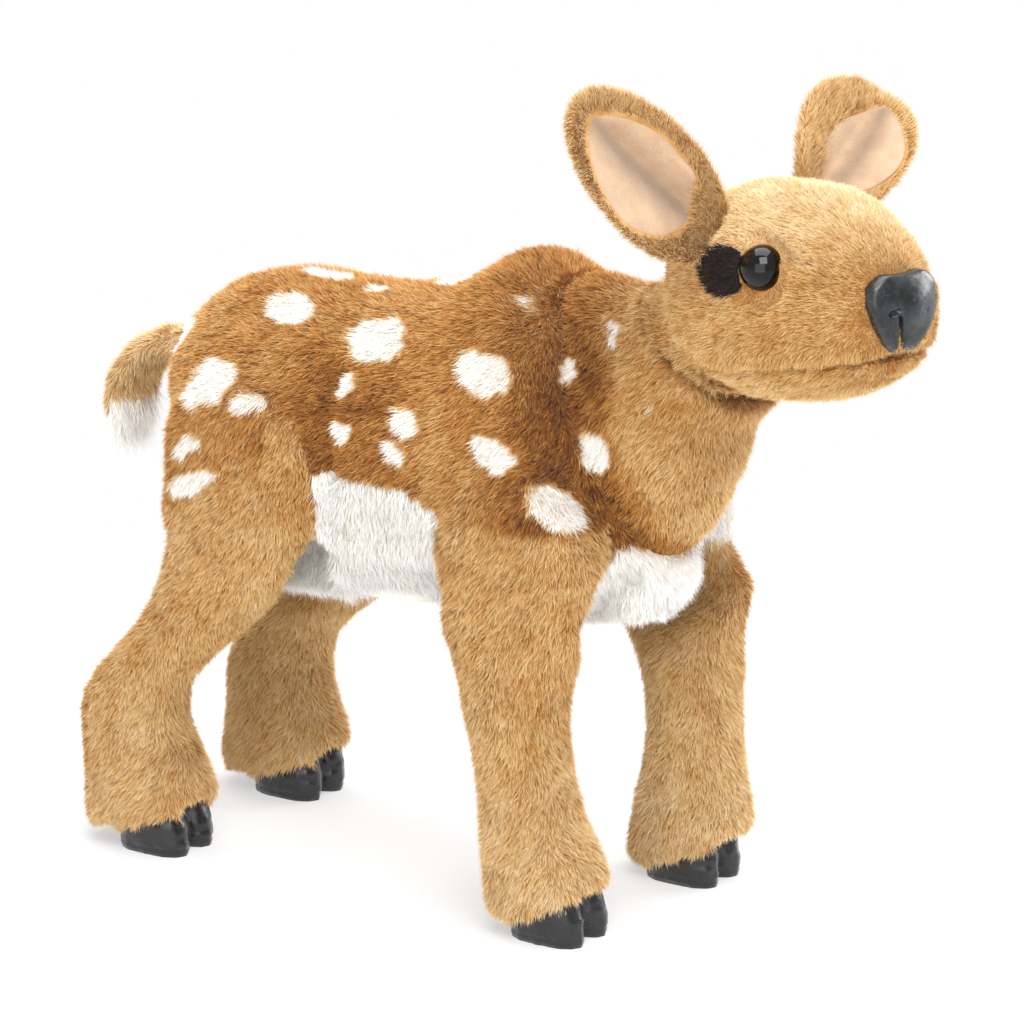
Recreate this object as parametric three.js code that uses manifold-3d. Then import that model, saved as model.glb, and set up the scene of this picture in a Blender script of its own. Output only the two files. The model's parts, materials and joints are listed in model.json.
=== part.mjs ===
// A standing fawn hand puppet in plush. The fawn faces -Y with +X on its left, and +Z is up.
// The hand enters under the belly, passes through the neck, and works the head and the jaw.
import * as THREE from "three";
import { mergeVertices } from "three/addons/utils/BufferGeometryUtils.js";
import Module from "manifold-3d";

const wasm = await Module();
wasm.setup();

// Driving dimensions, in millimetres and degrees. Y = 0 is the middle of the hooves.
const overrun = 60;
const seamGap = 0.35;
const jointGap = 0.9;
const plushWall = 5;
const lining = 1.3;

const rumpY = 121;
const bodyLength = 251;
const bodyBase = 105;
const bodyHeight = 160;
const bodyHalfWidth = 59;
const saddleSeamHeight = 176;
const saddleSeamShoulder = 150;
const saddleSeamRump = 137;

const chestY = rumpY - bodyLength;
const neckInset = 45;
const neckY = chestY + neckInset;
const neckZ = 195;
const neckRadius = 58;
const neckHalfWidth = 40;
const neckRun = 52;
const neckFootShare = 0.96;
const neckTopY = neckY - neckRun;
const neckTopZ = 234;
const neckLean = 34.8;
const neckDepth = 35;
const neckSide = 34;
const neckWall = 9;
const passageRadius = 23;
const rimNapeRun = 11;
const rimNapeY = neckY + rimNapeRun;
const rimNapeZ = 258;
const rimChestRun = 39;
const rimChestY = neckY - rimChestRun;
const rimChestZ = 146;

const sleeveHalfWidth = 34;
const sleeveHalfDepth = 27;
const hemWall = 3.5;
const hemDrop = 2;

const headYaw = -16;
const headPivotRun = 37;
const headPivotY = neckY - headPivotRun;
const headOverlap = 8;
const headBackY = neckTopY + headOverlap;
const headLength = 112.5;
const headBase = 222;
const headHeight = 86.5;
const headHalfWidth = 37.5;
const pocketRadius = 17;
const pocketTipRadius = 13;
const pocketRun = 48;
const pocketRise = 40;
const pocketBack = 4;

const jawHingeRun = 31;
const jawHingeY = headBackY - jawHingeRun;
const jawHingeZ = 229;
const jawHingeRadius = 6.5;
const jawRise = 6.5;
const mouthSlope = 10.6;
const jawSwing = 25;
const thumbHalfWidth = 9;
const thumbHalfHeight = 3.6;
const thumbReach = 38;

const noseWidth = 34;
const noseHeight = 30;
const noseZ = headBase + headHeight * 0.5087;
const noseStand = 3.6;

const eyeRadius = 9.5;
const eyeSide = 29.6;
const eyeRun = 68;
const eyeY = headBackY - eyeRun;
const eyeZ = headBase + headHeight * 0.659;
const eyeTurn = 24;
const shankRadius = 2;
const shankLength = 13;
const washerRadius = 7;
const washerThickness = 1.6;
const patchLength = 38;
const patchHeight = 25;
const patchBack = 13;
const patchStand = 1.5;

const earLength = 76;
const earHalfWidth = 23;
const earThickness = 5;
const earCup = 6;
const earLiningThickness = 1.6;
const earMargin = 5;
const earBall = 8;
const earSide = 31;
const earRun = 35;
const earY = headBackY - earRun;
const earZ = headBase + headHeight * 0.8208;
const earSwing = 20;

const foreLegInset = 53;
const foreLegY = chestY + foreLegInset;
const foreLegZ = 152;
const foreLegRadius = 36;
const hindLegInset = 59;
const hindLegY = rumpY - hindLegInset;
const hindLegZ = 165;
const hindLegRadius = 43;
const legInner = 24;
const legOuter = 66;
const haunchInner = 45.5;
const legSwing = 20;
const swingMargin = 2;
const foreStride = -11;
const foreBow = -13;
const cuffFront = 23;
const cuffRear = 2.5;

const hoofLength = 34;
const hoofHalfWidth = 16.5;
const hoofHeight = 31;
const toeSpread = 8.2;

const tailInset = 2;
const tailY = rumpY - tailInset;
const tailZ = 203;
const tailBall = 9;
const tailHalfWidth = 15;
const tailLength = 52;
const tailThickness = 17;
const tailSwing = 60;

// Finishes

function finish(color, roughness, metalness = 0) {
  return new THREE.MeshStandardMaterial({ color, roughness, metalness });
}
const spottedPlush = finish(0xa5692d, 0.9);
const tanPlush = finish(0xcd9655, 0.9);
const whitePlush = finish(0xf2f0ec, 0.9);
const darkPlush = finish(0x2b2226, 0.9);
const velour = finish(0xd2b490, 0.85);
const leatherette = finish(0x323436, 0.35);
const eyeGloss = finish(0x0a0808, 0.08);
const liningCloth = finish(0xb08a5c, 0.8);
const stuffingWool = finish(0xe9e6df, 1);
const washerPlastic = finish(0xdedede, 0.4);

// Solids: a closed three.js geometry goes to a manifold for joining and cutting, and back

function solidFrom(geometry) {
  const bare = new THREE.BufferGeometry();
  const flat = geometry.index ? geometry.toNonIndexed() : geometry;
  bare.setAttribute("position", flat.getAttribute("position").clone());
  const merged = mergeVertices(bare, 1e-4);
  const mesh = new wasm.Mesh({
    numProp: 3,
    vertProperties: merged.attributes.position.array,
    triVerts: new Uint32Array(merged.index.array),
  });
  return new wasm.Manifold(mesh);
}

function geometryFrom(solid) {
  const mesh = solid.getMesh();
  const geometry = new THREE.BufferGeometry();
  const points = new Float32Array(mesh.vertProperties);
  geometry.setAttribute("position", new THREE.BufferAttribute(points, 3));
  geometry.setIndex(new THREE.BufferAttribute(new Uint32Array(mesh.triVerts), 1));
  const faceted = geometry.toNonIndexed();
  faceted.computeVertexNormals();
  return faceted;
}

function largestBody(solid) {
  return solid.decompose().reduce((best, body) => (body.volume() > best.volume() ? body : best));
}

function piece(name, solid, material) {
  const mesh = new THREE.Mesh(geometryFrom(largestBody(solid)), material);
  mesh.name = name;
  return mesh;
}

function cutAll(solid, cutters) {
  return cutters.reduce((left, cutter) => left.subtract(cutter), solid);
}

function joinAll(solids) {
  return solids.reduce((joined, solid) => joined.add(solid));
}

function at(x, y, z) {
  return new THREE.Vector3(x, y, z);
}

const radians = THREE.MathUtils.degToRad;

// A closed loft through rings of equally many points, capped at both ends
function loft(rings) {
  const sides = rings[0].length;
  const points = rings.flat();
  const tail = points.length;
  const middle = (ring) => ring.reduce((sum, point) => sum.add(point), at(0, 0, 0)).divideScalar(sides);
  points.push(middle(rings[0]), middle(rings[rings.length - 1]));
  const faces = [];
  for (let k = 0; k + 1 < rings.length; k++) {
    for (let i = 0; i < sides; i++) {
      const j = (i + 1) % sides;
      const low = k * sides;
      const high = low + sides;
      faces.push(low + i, low + j, high + j, low + i, high + j, high + i);
    }
  }
  for (let i = 0; i < sides; i++) {
    const j = (i + 1) % sides;
    const last = (rings.length - 1) * sides;
    faces.push(tail, j, i, tail + 1, last + i, last + j);
  }
  const geometry = new THREE.BufferGeometry();
  geometry.setAttribute(
    "position",
    new THREE.Float32BufferAttribute(points.flatMap((point) => [point.x, point.y, point.z]), 3),
  );
  geometry.setIndex(faces);
  const solid = solidFrom(geometry);
  if (solid.volume() > 0) return solid;
  for (let i = 0; i < faces.length; i += 3) [faces[i + 1], faces[i + 2]] = [faces[i + 2], faces[i + 1]];
  geometry.setIndex(faces);
  return solidFrom(geometry);
}

// One point of a superellipse of half sizes 1, at a share of its turn
function roundPoint(turnShare, fullness) {
  const turn = turnShare * Math.PI * 2;
  const squash = (value) => Math.sign(value) * Math.pow(Math.abs(value), 2 / fullness);
  return [squash(Math.cos(turn)), squash(Math.sin(turn))];
}

// A ring across Y: x from low to high, z from bottom to top, widest at the belly share of the height
function crossRing(y, low, high, bottom, top, sides, fullness = 2.3, bellyShare = 0.45) {
  const middle = bottom + (top - bottom) * bellyShare;
  return Array.from({ length: sides }, (_, i) => {
    const [u, v] = roundPoint(i / sides, fullness);
    const x = (low + high) / 2 + (u * (high - low)) / 2;
    return at(x, y, v > 0 ? middle + v * (top - middle) : middle + v * (middle - bottom));
  });
}

// A ring round a centre, spanned by two half-axis vectors
function ovalRing(centre, across, along, sides, fullness = 2) {
  return Array.from({ length: sides }, (_, i) => {
    const [u, v] = roundPoint(i / sides, fullness);
    return centre.clone().addScaledVector(across, u).addScaledVector(along, v);
  });
}

// A round bar between two points, tapering from one radius to the other
function bar(from, to, radius, tipRadius = radius, sides = 14) {
  const along = to.clone().sub(from).normalize();
  const across = Math.abs(along.x) > 0.9 ? at(0, 1, 0) : at(1, 0, 0);
  const side = across.clone().cross(along).normalize();
  const up = along.clone().cross(side).normalize();
  const ring = (centre, r) =>
    ovalRing(centre, side.clone().multiplyScalar(r), up.clone().multiplyScalar(r), sides);
  return loft([ring(from, radius), ring(to, tipRadius)]);
}

// A large block on the side of a plane that its normal points to
function halfSpace(point, normal, reach = bodyLength * 2) {
  const box = new THREE.BoxGeometry(reach, reach, reach);
  box.translate(0, 0, reach / 2);
  box.applyQuaternion(new THREE.Quaternion().setFromUnitVectors(at(0, 0, 1), normal.clone().normalize()));
  box.translate(point.x, point.y, point.z);
  return solidFrom(box);
}

// A side outline of [y, z] points, extruded over a range of x
function sidePrism(outline, low, high) {
  const shape = new THREE.Shape(outline.map(([y, z]) => new THREE.Vector2(y, z)));
  const geometry = new THREE.ExtrudeGeometry(shape, { depth: high - low, bevelEnabled: false });
  geometry.applyMatrix4(new THREE.Matrix4().makeBasis(at(0, 1, 0), at(0, 0, 1), at(1, 0, 0)));
  geometry.translate(low, 0, 0);
  return solidFrom(geometry);
}

// A ball with its own half width along X
function ball(centre, halfWidth, radius, steps = 14) {
  const sphere = new THREE.SphereGeometry(1, steps, Math.round(steps / 2));
  sphere.rotateZ(Math.PI / 2);
  sphere.scale(halfWidth, radius, radius);
  sphere.translate(centre.x, centre.y, centre.z);
  return solidFrom(sphere);
}

// A disc of revolution about an X axis, from low to high, with its high side rounded
function puck(y, z, low, high, radius, edge, sides = 16) {
  const span = high - low;
  const profile = [
    [0, 0],
    [radius - edge, 0],
    [radius, edge],
    [radius, span * 0.4],
    [radius * 0.9, span * 0.74],
    [radius * 0.62, span * 0.95],
    [0, span],
  ].map(([r, h]) => new THREE.Vector2(r, h));
  const lathe = new THREE.LatheGeometry(profile, sides);
  lathe.rotateZ(-Math.PI / 2);
  lathe.translate(low, y, z);
  return solidFrom(lathe);
}

// The same geometry, turned about an X axis through a point
function turned(solid, degrees, pivot, axis = at(1, 0, 0)) {
  const matrix = new THREE.Matrix4().makeTranslation(pivot.x, pivot.y, pivot.z);
  matrix.multiply(new THREE.Matrix4().makeRotationAxis(axis.clone().normalize(), radians(degrees)));
  matrix.multiply(new THREE.Matrix4().makeTranslation(-pivot.x, -pivot.y, -pivot.z));
  return moved(solid, matrix);
}

function moved(solid, matrix) {
  return solidFrom(geometryFrom(solid).applyMatrix4(matrix));
}

// Every place that a piece passes through as it turns from one angle to another
function swept(solid, from, to, pivot, axis, steps = 5) {
  const places = [];
  for (let i = 0; i <= steps; i++) {
    places.push(turned(solid, from + ((to - from) * i) / steps, pivot, axis));
  }
  return joinAll(places);
}

function mirrored(solid) {
  const geometry = geometryFrom(solid).applyMatrix4(new THREE.Matrix4().makeScale(-1, 1, 1));
  const position = geometry.getAttribute("position");
  for (let i = 0; i < position.count; i += 3) {
    const second = at(0, 0, 0).fromBufferAttribute(position, i + 1);
    const third = at(0, 0, 0).fromBufferAttribute(position, i + 2);
    position.setXYZ(i + 1, third.x, third.y, third.z);
    position.setXYZ(i + 2, second.x, second.y, second.z);
  }
  return solidFrom(geometry);
}

// The trunk's outside: shares of its length, and of its height at the top and bottom, and of its width
const trunkShares = [
  [0, 0.62, 0.28, 0.3],
  [0.01, 0.635, 0.24, 0.56],
  [0.045, 0.72, 0.15, 0.79],
  [0.11, 0.785, 0.08, 0.92],
  [0.22, 0.84, 0.03, 0.97],
  [0.34, 0.83, 0.035, 0.97],
  [0.46, 0.835, 0.055, 0.97],
  [0.56, 0.875, 0.065, 0.98],
  [0.66, 0.96, 0.07, 1],
  [0.74, 0.98, 0.075, 0.98],
  [0.84, 0.95, 0.09, 0.92],
  [0.92, 0.84, 0.105, 0.81],
  [0.975, 0.6, 0.14, 0.66],
  [1, 0.42, 0.2, 0.4],
];

function trunk(inset, sides = 16) {
  const rings = trunkShares.map(([lengthShare, topShare, bottomShare, widthShare]) => {
    const along = (bodyLength - 2 * inset) * lengthShare + inset;
    const half = Math.max(bodyHalfWidth * widthShare - inset, bodyHalfWidth / 6);
    const top = bodyBase + bodyHeight * topShare - inset;
    const bottom = bodyBase + bodyHeight * bottomShare + inset;
    return crossRing(rumpY - along, -half, half, bottom, top, sides);
  });
  return loft(rings);
}

// Neck frame: the ball that turns in the shoulders, and the slanted face that carries the head
const neckBall = at(0, neckY, neckZ);
const neckTop = at(0, neckTopY, neckTopZ);
const neckUp = at(0, -Math.sin(radians(neckLean)), Math.cos(radians(neckLean)));
const neckBack = at(0, Math.cos(radians(neckLean)), Math.sin(radians(neckLean)));
const rimNape = at(0, rimNapeY, rimNapeZ);
const rimChest = at(0, rimChestY, rimChestZ);
const rimAlong = rimNape.clone().sub(rimChest).normalize();
const rimOut = at(0, -rimAlong.z, rimAlong.y);

function neckSocket(gap) {
  return ball(neckBall, neckHalfWidth + gap, neckRadius + gap, 28);
}

// The slanted upper neck, from inside the ball to just past the face that carries the head
function neckShaft() {
  const ring = (run, share) => {
    const centre = neckTop.clone().addScaledVector(neckUp, run);
    const depth = neckBack.clone().multiplyScalar(neckDepth * share);
    return ovalRing(centre, at(neckSide * share, 0, 0), depth, 16, 2.2);
  };
  return loft([ring(-neckRadius * 0.9, neckFootShare), ring(seamGap, 1)]);
}

// Legs, as rows of shares of the hip height: height, front and back reach, inner and outer side
const foreLeg = {
  y: foreLegY,
  z: foreLegZ,
  radius: foreLegRadius,
  rowShares: [
    [0.9, -0.2, 0.2, 0.52, 1],
    [0.82, -0.23, 0.22, 0.5, 1],
    [0.73, -0.18, 0.2, 0.12, 1],
    [0.64, -0.14, 0.17, 0, 1],
    [0.53, -0.13, 0.145, 0, 0.98],
    [0.41, -0.15, 0.125, 0, 0.95],
    [0.3, -0.18, 0.12, 0, 0.97],
    [0.2, -0.23, 0.115, -0.03, 1],
    [0.1, -0.26, 0.115, -0.05, 1.02],
    [0, -0.26, 0.1, -0.02, 1],
  ],
  hoofReachShare: -0.205,
  stride: 0,
  bow: 0,
};
const hindLeg = {
  y: hindLegY,
  z: hindLegZ,
  radius: hindLegRadius,
  rowShares: [
    [0.9, -0.18, 0.16, 0.52, 1],
    [0.8, -0.2, 0.2, 0.5, 1],
    [0.7, -0.13, 0.23, 0.12, 1],
    [0.61, -0.02, 0.28, 0, 1],
    [0.52, 0.085, 0.36, 0, 0.98],
    [0.43, 0.165, 0.44, 0.02, 0.95],
    [0.34, 0.17, 0.475, 0.02, 0.95],
    [0.25, 0.14, 0.475, 0, 0.97],
    [0.16, 0.1, 0.475, -0.04, 1],
    [0.08, 0.085, 0.48, -0.06, 1.02],
    [0, 0.085, 0.46, -0.02, 1],
  ],
  hoofReachShare: 0.15,
  stride: 0,
  bow: 0,
};
const foreLegAhead = { ...foreLeg, stride: foreStride, bow: foreBow };

// Height, front and back of each row, moved by the leg's stride at the floor and its bow at half height
function legEdges(leg) {
  return leg.rowShares.map(([heightShare, frontShare, backShare]) => {
    const shift = leg.stride * (1 - heightShare) + leg.bow * 4 * heightShare * (1 - heightShare);
    return [heightShare * leg.z, leg.y + frontShare * leg.z + shift, leg.y + backShare * leg.z + shift];
  });
}

// The hem of the cuff slopes from its front down to its heel
function hemSpace(leg) {
  const edges = legEdges(leg);
  const [, front, back] = edges[edges.length - 2];
  const slope = Math.atan2(cuffFront - cuffRear, back - front);
  return halfSpace(at(0, back, cuffRear), at(0, Math.sin(slope), Math.cos(slope)));
}

function legLoft(leg, inset, sides = 10) {
  const rings = legEdges(leg).map(([z, front, back], i) => {
    const [, , , innerShare, outerShare] = leg.rowShares[i];
    const inner = legInner + (legOuter - legInner) * innerShare + inset;
    const outer = legInner + (legOuter - legInner) * outerShare - inset;
    const centre = at((inner + outer) / 2, (front + back) / 2, z);
    return ovalRing(centre, at((outer - inner) / 2, 0, 0), at(0, (back - front) / 2 - inset, 0), sides, 2.2);
  });
  return loft(rings);
}

// A left leg's plush, its stuffing and its hoof
function makeLeg(leg) {
  const dome = puck(leg.y, leg.z, haunchInner, legOuter, leg.radius, seamGap * 4);
  const outside = dome.add(legLoft(leg, 0));
  const innerDome = puck(
    leg.y,
    leg.z,
    haunchInner + plushWall,
    legOuter - plushWall,
    leg.radius - plushWall,
    seamGap * 2,
  );
  const inside = innerDome.add(legLoft(leg, plushWall));
  const hoof = makeHoof(leg);
  const cover = cutAll(outside.intersect(hemSpace(leg)), [inside, makeHoof(leg, seamGap)]);
  const packing = puck(
    leg.y,
    leg.z,
    haunchInner + plushWall + seamGap,
    legOuter - plushWall - seamGap,
    leg.radius - plushWall - seamGap,
    seamGap * 2,
    8,
  ).add(legLoft(leg, plushWall + seamGap, 5));
  const aboveHoof = halfSpace(at(0, 0, hoofHeight + seamGap), at(0, 0, 1));
  return { cover, packing: packing.intersect(aboveHoof), hoof };
}

function makeHoof(leg, grow = 0) {
  const front = leg.y + leg.hoofReachShare * leg.z + leg.stride;
  const middle = (legInner + legOuter) / 2;
  const toeShares = [
    [0, 0, 0.96, 0.44],
    [0.1, -0.03, 0.98, 0.52],
    [0.35, -0.01, 0.92, 0.54],
    [0.7, 0.1, 0.8, 0.48],
    [1, 0.26, 0.68, 0.38],
  ];
  const toe = (side) =>
    loft(
      toeShares.map(([heightShare, frontShare, backShare, widthShare]) => {
        const low = front + frontShare * hoofLength;
        const high = front + backShare * hoofLength;
        const height = heightShare * (hoofHeight + 2 * grow) - grow;
        const centre = at(middle + side * toeSpread, (low + high) / 2, height);
        const across = at(hoofHalfWidth * widthShare + grow, 0, 0);
        return ovalRing(centre, across, at(0, (high - low) / 2 + grow, 0), 12, 2.3);
      }),
    );
  return toe(-1).add(toe(1));
}

// The room that a swinging leg needs, seen from the side: its front edge turned forward, and its back
// edge turned backward
function swingRoom(leg, fromRadius) {
  const reach = legSwing + swingMargin;
  const edges = legEdges(leg).filter(([z]) => z > bodyBase * 0.55);
  const turnedPoint = (y, z, degrees) => {
    const away = new THREE.Vector2(y - leg.y, z - leg.z).rotateAround(new THREE.Vector2(), radians(degrees));
    away.setLength(away.length() + jointGap);
    return [leg.y + away.x, leg.z + away.y];
  };
  const front = edges.map(([z, y]) => turnedPoint(y, z, -reach));
  const back = edges.map(([z, , y]) => turnedPoint(y, z, reach));
  const apex = [];
  for (let turn = 180 + reach; turn <= 360 - reach; turn += 20) {
    const spot = new THREE.Vector2(fromRadius, 0).rotateAround(new THREE.Vector2(), radians(turn));
    apex.push([leg.y + spot.x, leg.z + spot.y]);
  }
  return [...front, ...back.reverse(), ...apex.reverse()];
}

// What the trunk leaves open for a left leg: the round seat of its haunch and the fan of its swing
function legRoom(leg) {
  const seat = bar(
    at(haunchInner - jointGap, leg.y, leg.z),
    at(legOuter + overrun, leg.y, leg.z),
    leg.radius + jointGap,
    leg.radius + jointGap,
    20,
  );
  const outerFan = sidePrism(swingRoom(leg, leg.radius / 4), haunchInner - jointGap, legOuter + overrun);
  const topShare = leg.rowShares[1][0];
  const innerRadius = leg.z * (1 - topShare) - jointGap;
  const innerFan = sidePrism(swingRoom(leg, innerRadius), legInner - jointGap * 2, haunchInner);
  return joinAll([seat, outerFan, innerFan]);
}

const leftForeRoom = legRoom(foreLegAhead);
const rightForeRoom = mirrored(legRoom(foreLeg));
const leftHindRoom = legRoom(hindLeg);
const rightHindRoom = mirrored(legRoom(hindLeg));

// The hand's way, up through the belly and then forward to the back of the neck, in rows of: share of the
// trunk's length, share of its height, lean in degrees, and shares of the sleeve's own half width and depth
const sleeveShares = [
  [0.498, -0.031, 0, 1, 1],
  [0.498, 0.069, 3, 1, 1],
  [0.518, 0.206, 25, 1.06, 1.04],
  [0.602, 0.369, 44.6, 1.08, 1.12],
  [0.729, 0.519, 51.5, 1, 1.25],
  [0.833, 0.644, 53, 0.94, 1.25],
];

function sleeveSpace(grow) {
  return loft(
    sleeveShares.map(([lengthShare, heightShare, lean, widthShare, depthShare]) => {
      const centre = at(0, rumpY - bodyLength * lengthShare, bodyBase + bodyHeight * heightShare);
      const depth = sleeveHalfDepth * depthShare + grow;
      const along = at(0, Math.cos(radians(lean)) * depth, Math.sin(radians(lean)) * depth);
      return ovalRing(centre, at(sleeveHalfWidth * widthShare + grow, 0, 0), along, 16, 2.2);
    }),
  );
}

// Tail: a curved paddle that hinges on a round root in the rump
const tailRoot = at(0, tailY, tailZ);
const tailShares = [
  [0, 0, 0.55, 0.55],
  [0.28, 0.02, 0.8, 0.8],
  [0.55, -0.09, 0.98, 0.95],
  [0.76, -0.3, 1, 1],
  [0.86, -0.55, 0.92, 0.95],
  [0.84, -0.75, 0.62, 0.62],
  [0.82, -0.82, 0.25, 0.25],
];

function tailForm(inset, sides = 12) {
  const path = tailShares.map(([backShare, upShare]) =>
    at(0, tailY + backShare * tailLength, tailZ + upShare * tailLength),
  );
  const rings = tailShares.map(([, , widthShare, thicknessShare], i) => {
    const before = path[Math.max(i - 1, 0)];
    const after = path[Math.min(i + 1, path.length - 1)];
    const along = after.clone().sub(before).normalize();
    const out = at(0, -along.z, along.y);
    return ovalRing(
      path[i],
      at(tailHalfWidth * widthShare - inset, 0, 0),
      out.multiplyScalar((tailThickness / 2) * thicknessShare - inset),
      sides,
    );
  });
  return loft(rings);
}

function tailRootBall(gap) {
  return bar(
    at(-tailHalfWidth * 0.55 - gap, tailY, tailZ),
    at(tailHalfWidth * 0.55 + gap, tailY, tailZ),
    tailBall + gap,
    tailBall + gap,
    16,
  );
}

// The side outline of the tail's white lower half
function tailUnderOutline() {
  const middle = tailShares.map(([backShare, upShare]) => [
    tailY + backShare * tailLength * 0.93,
    tailZ + upShare * tailLength - tailThickness * 0.1,
  ]);
  const below = [
    [tailY + tailLength * 0.5, tailZ - tailLength * 1.3],
    [tailY, tailZ - tailLength],
    [tailY - tailBall * 0.55, tailZ - tailBall * 1.4],
  ];
  return [...middle, ...below];
}

const tailSolid = tailForm(0).add(tailRootBall(0));
const tailRoom = tailForm(-jointGap, 8).add(tailRootBall(jointGap));
const tailOpening = swept(tailRoom, 0, tailSwing, tailRoot, at(1, 0, 0), 4);

// Trunk pieces
const trunkCutters = [
  neckSocket(jointGap),
  halfSpace(rimChest, rimOut),
  leftForeRoom,
  rightForeRoom,
  leftHindRoom,
  rightHindRoom,
  tailOpening,
];

const saddleOutline = [
  [rumpY + overrun, bodyBase + bodyHeight + overrun],
  [rumpY + overrun, saddleSeamRump],
  [rumpY - bodyLength * 0.1, saddleSeamRump],
  [rumpY - bodyLength * 0.28, (saddleSeamRump + saddleSeamHeight) / 2],
  [rumpY - bodyLength * 0.42, saddleSeamHeight],
  [rumpY - bodyLength * 0.58, saddleSeamHeight],
  [rumpY - bodyLength * 0.8, saddleSeamShoulder],
  [rumpY - bodyLength - overrun, saddleSeamShoulder],
  [rumpY - bodyLength - overrun, bodyBase + bodyHeight + overrun],
].reverse();

function saddleSpace(gap) {
  const outline = saddleOutline.map(([y, z]) => [y, z + gap]);
  return sidePrism(outline, -bodyHalfWidth - overrun, bodyHalfWidth + overrun);
}

const sleeveRoom = sleeveSpace(lining + seamGap);
const trunkSkin = cutAll(trunk(0).subtract(trunk(plushWall)), [...trunkCutters, sleeveRoom]);
const stuffingForm = cutAll(trunk(plushWall + seamGap, 8), [...trunkCutters, sleeveRoom]);

const belowHem = halfSpace(at(0, 0, bodyBase + bodyHeight * 0.055 - hemDrop), at(0, 0, 1));
const sleeveTube = sleeveSpace(lining).subtract(sleeveSpace(0));
const sleeveForm = cutAll(sleeveTube.intersect(belowHem), [neckSocket(jointGap)]);
const hemForm = cutAll(sleeveSpace(lining + seamGap + hemWall).subtract(sleeveRoom), [
  trunk(-seamGap),
  neckSocket(jointGap),
  leftForeRoom,
  rightForeRoom,
  leftHindRoom,
  rightHindRoom,
]).intersect(belowHem);

// Neck pieces
const belowNeckTop = halfSpace(neckTop.clone().addScaledVector(neckUp, -seamGap), neckUp.clone().negate());
const neckKeep = halfSpace(neckBall.clone().addScaledVector(rimOut, -neckRadius * 0.17), rimOut);
const neckOutside = ball(neckBall, neckHalfWidth, neckRadius, 20).add(neckShaft());
const neckHollow = ball(neckBall, neckHalfWidth - neckWall, neckRadius - neckWall, 14);
const passageFoot = neckTop.clone().addScaledVector(neckUp, -neckRadius * 0.75);
const passageTop = neckTop.clone().addScaledVector(neckUp, overrun);

function passage(radius) {
  return bar(passageFoot, passageTop, radius, radius, 14);
}

const neckForm = cutAll(neckOutside, [neckHollow, passage(passageRadius + lining + seamGap)])
  .intersect(belowNeckTop)
  .intersect(neckKeep);
const neckLiningTube = passage(passageRadius + lining).subtract(passage(passageRadius));
const neckLiningForm = neckLiningTube.intersect(belowNeckTop);

// Head, built looking straight ahead and turned as a group by its yaw
const headPivot = at(0, headPivotY, 0);
const headTurn = new THREE.Matrix4().makeTranslation(headPivot.x, headPivot.y, headPivot.z);
headTurn.multiply(new THREE.Matrix4().makeRotationZ(radians(headYaw)));
headTurn.multiply(new THREE.Matrix4().makeTranslation(-headPivot.x, -headPivot.y, -headPivot.z));
const headUnturn = headTurn.clone().invert();

const headShares = [
  [0, 0.62, 0.34, 0.26],
  [0.016, 0.68, 0.26, 0.48],
  [0.07, 0.79, 0.16, 0.7],
  [0.17, 0.9, 0.08, 0.88],
  [0.29, 0.97, 0.025, 0.975],
  [0.435, 1, 0, 1],
  [0.58, 0.995, 0.02, 0.975],
  [0.7, 0.96, 0.055, 0.88],
  [0.81, 0.91, 0.1, 0.79],
  [0.9, 0.845, 0.16, 0.7],
  [0.96, 0.765, 0.23, 0.6],
  [0.99, 0.66, 0.335, 0.4],
  [1, 0.58, 0.42, 0.22],
];

function skull(inset, sides = 16) {
  const rings = headShares.map(([lengthShare, topShare, bottomShare, widthShare]) => {
    const along = (headLength - 2 * inset) * lengthShare + inset;
    const half = Math.max(headHalfWidth * widthShare - inset, headHalfWidth / 9);
    const top = headBase + headHeight * topShare - inset;
    const bottom = headBase + headHeight * bottomShare + inset;
    return crossRing(headBackY - along, -half, half, bottom, top, sides, 2.25, 0.44);
  });
  return loft(rings);
}

function nape(inset) {
  const ring = (upShare, backShare, depthShare, sideShare) => {
    const centre = neckTop
      .clone()
      .addScaledVector(neckUp, neckDepth * upShare)
      .addScaledVector(neckBack, neckDepth * backShare);
    const along = neckBack.clone().multiplyScalar(neckDepth * depthShare - inset);
    return ovalRing(centre, at(neckSide * sideShare - inset, 0, 0), along, 16, 2.2);
  };
  return loft([
    ring(-0.4, 0, 1, 1),
    ring(0, 0, 1, 1),
    ring(0.28, -0.03, 0.95, 0.96),
    ring(0.75, -0.2, 0.74, 0.7),
  ]);
}

const overNeck = halfSpace(neckTop.clone().addScaledVector(neckUp, seamGap), neckUp);
const aboveNeckTop = moved(overNeck, headUnturn);
const mouthHinge = at(0, jawHingeY, jawHingeZ);
const mouthUp = at(0, Math.sin(radians(mouthSlope)), Math.cos(radians(mouthSlope)));
const mouthPoint = at(0, jawHingeY, jawHingeZ + jawRise);

function mouthSpace(height, up) {
  const normal = up ? mouthUp : mouthUp.clone().negate();
  return halfSpace(mouthPoint.clone().addScaledVector(mouthUp, height), normal);
}

const aheadOfHinge = (gap) => halfSpace(at(0, jawHingeY + gap, jawHingeZ), at(0, -1, 0));

function jawForm(grow) {
  const knuckle = bar(
    at(-headHalfWidth * 2, jawHingeY, jawHingeZ),
    at(headHalfWidth * 2, jawHingeY, jawHingeZ),
    jawHingeRadius + grow,
    jawHingeRadius + grow,
    16,
  );
  const lower = skull(-grow).intersect(mouthSpace(-lining - 2 * seamGap + grow, false));
  return lower.intersect(aheadOfHinge(0).add(knuckle));
}

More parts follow.
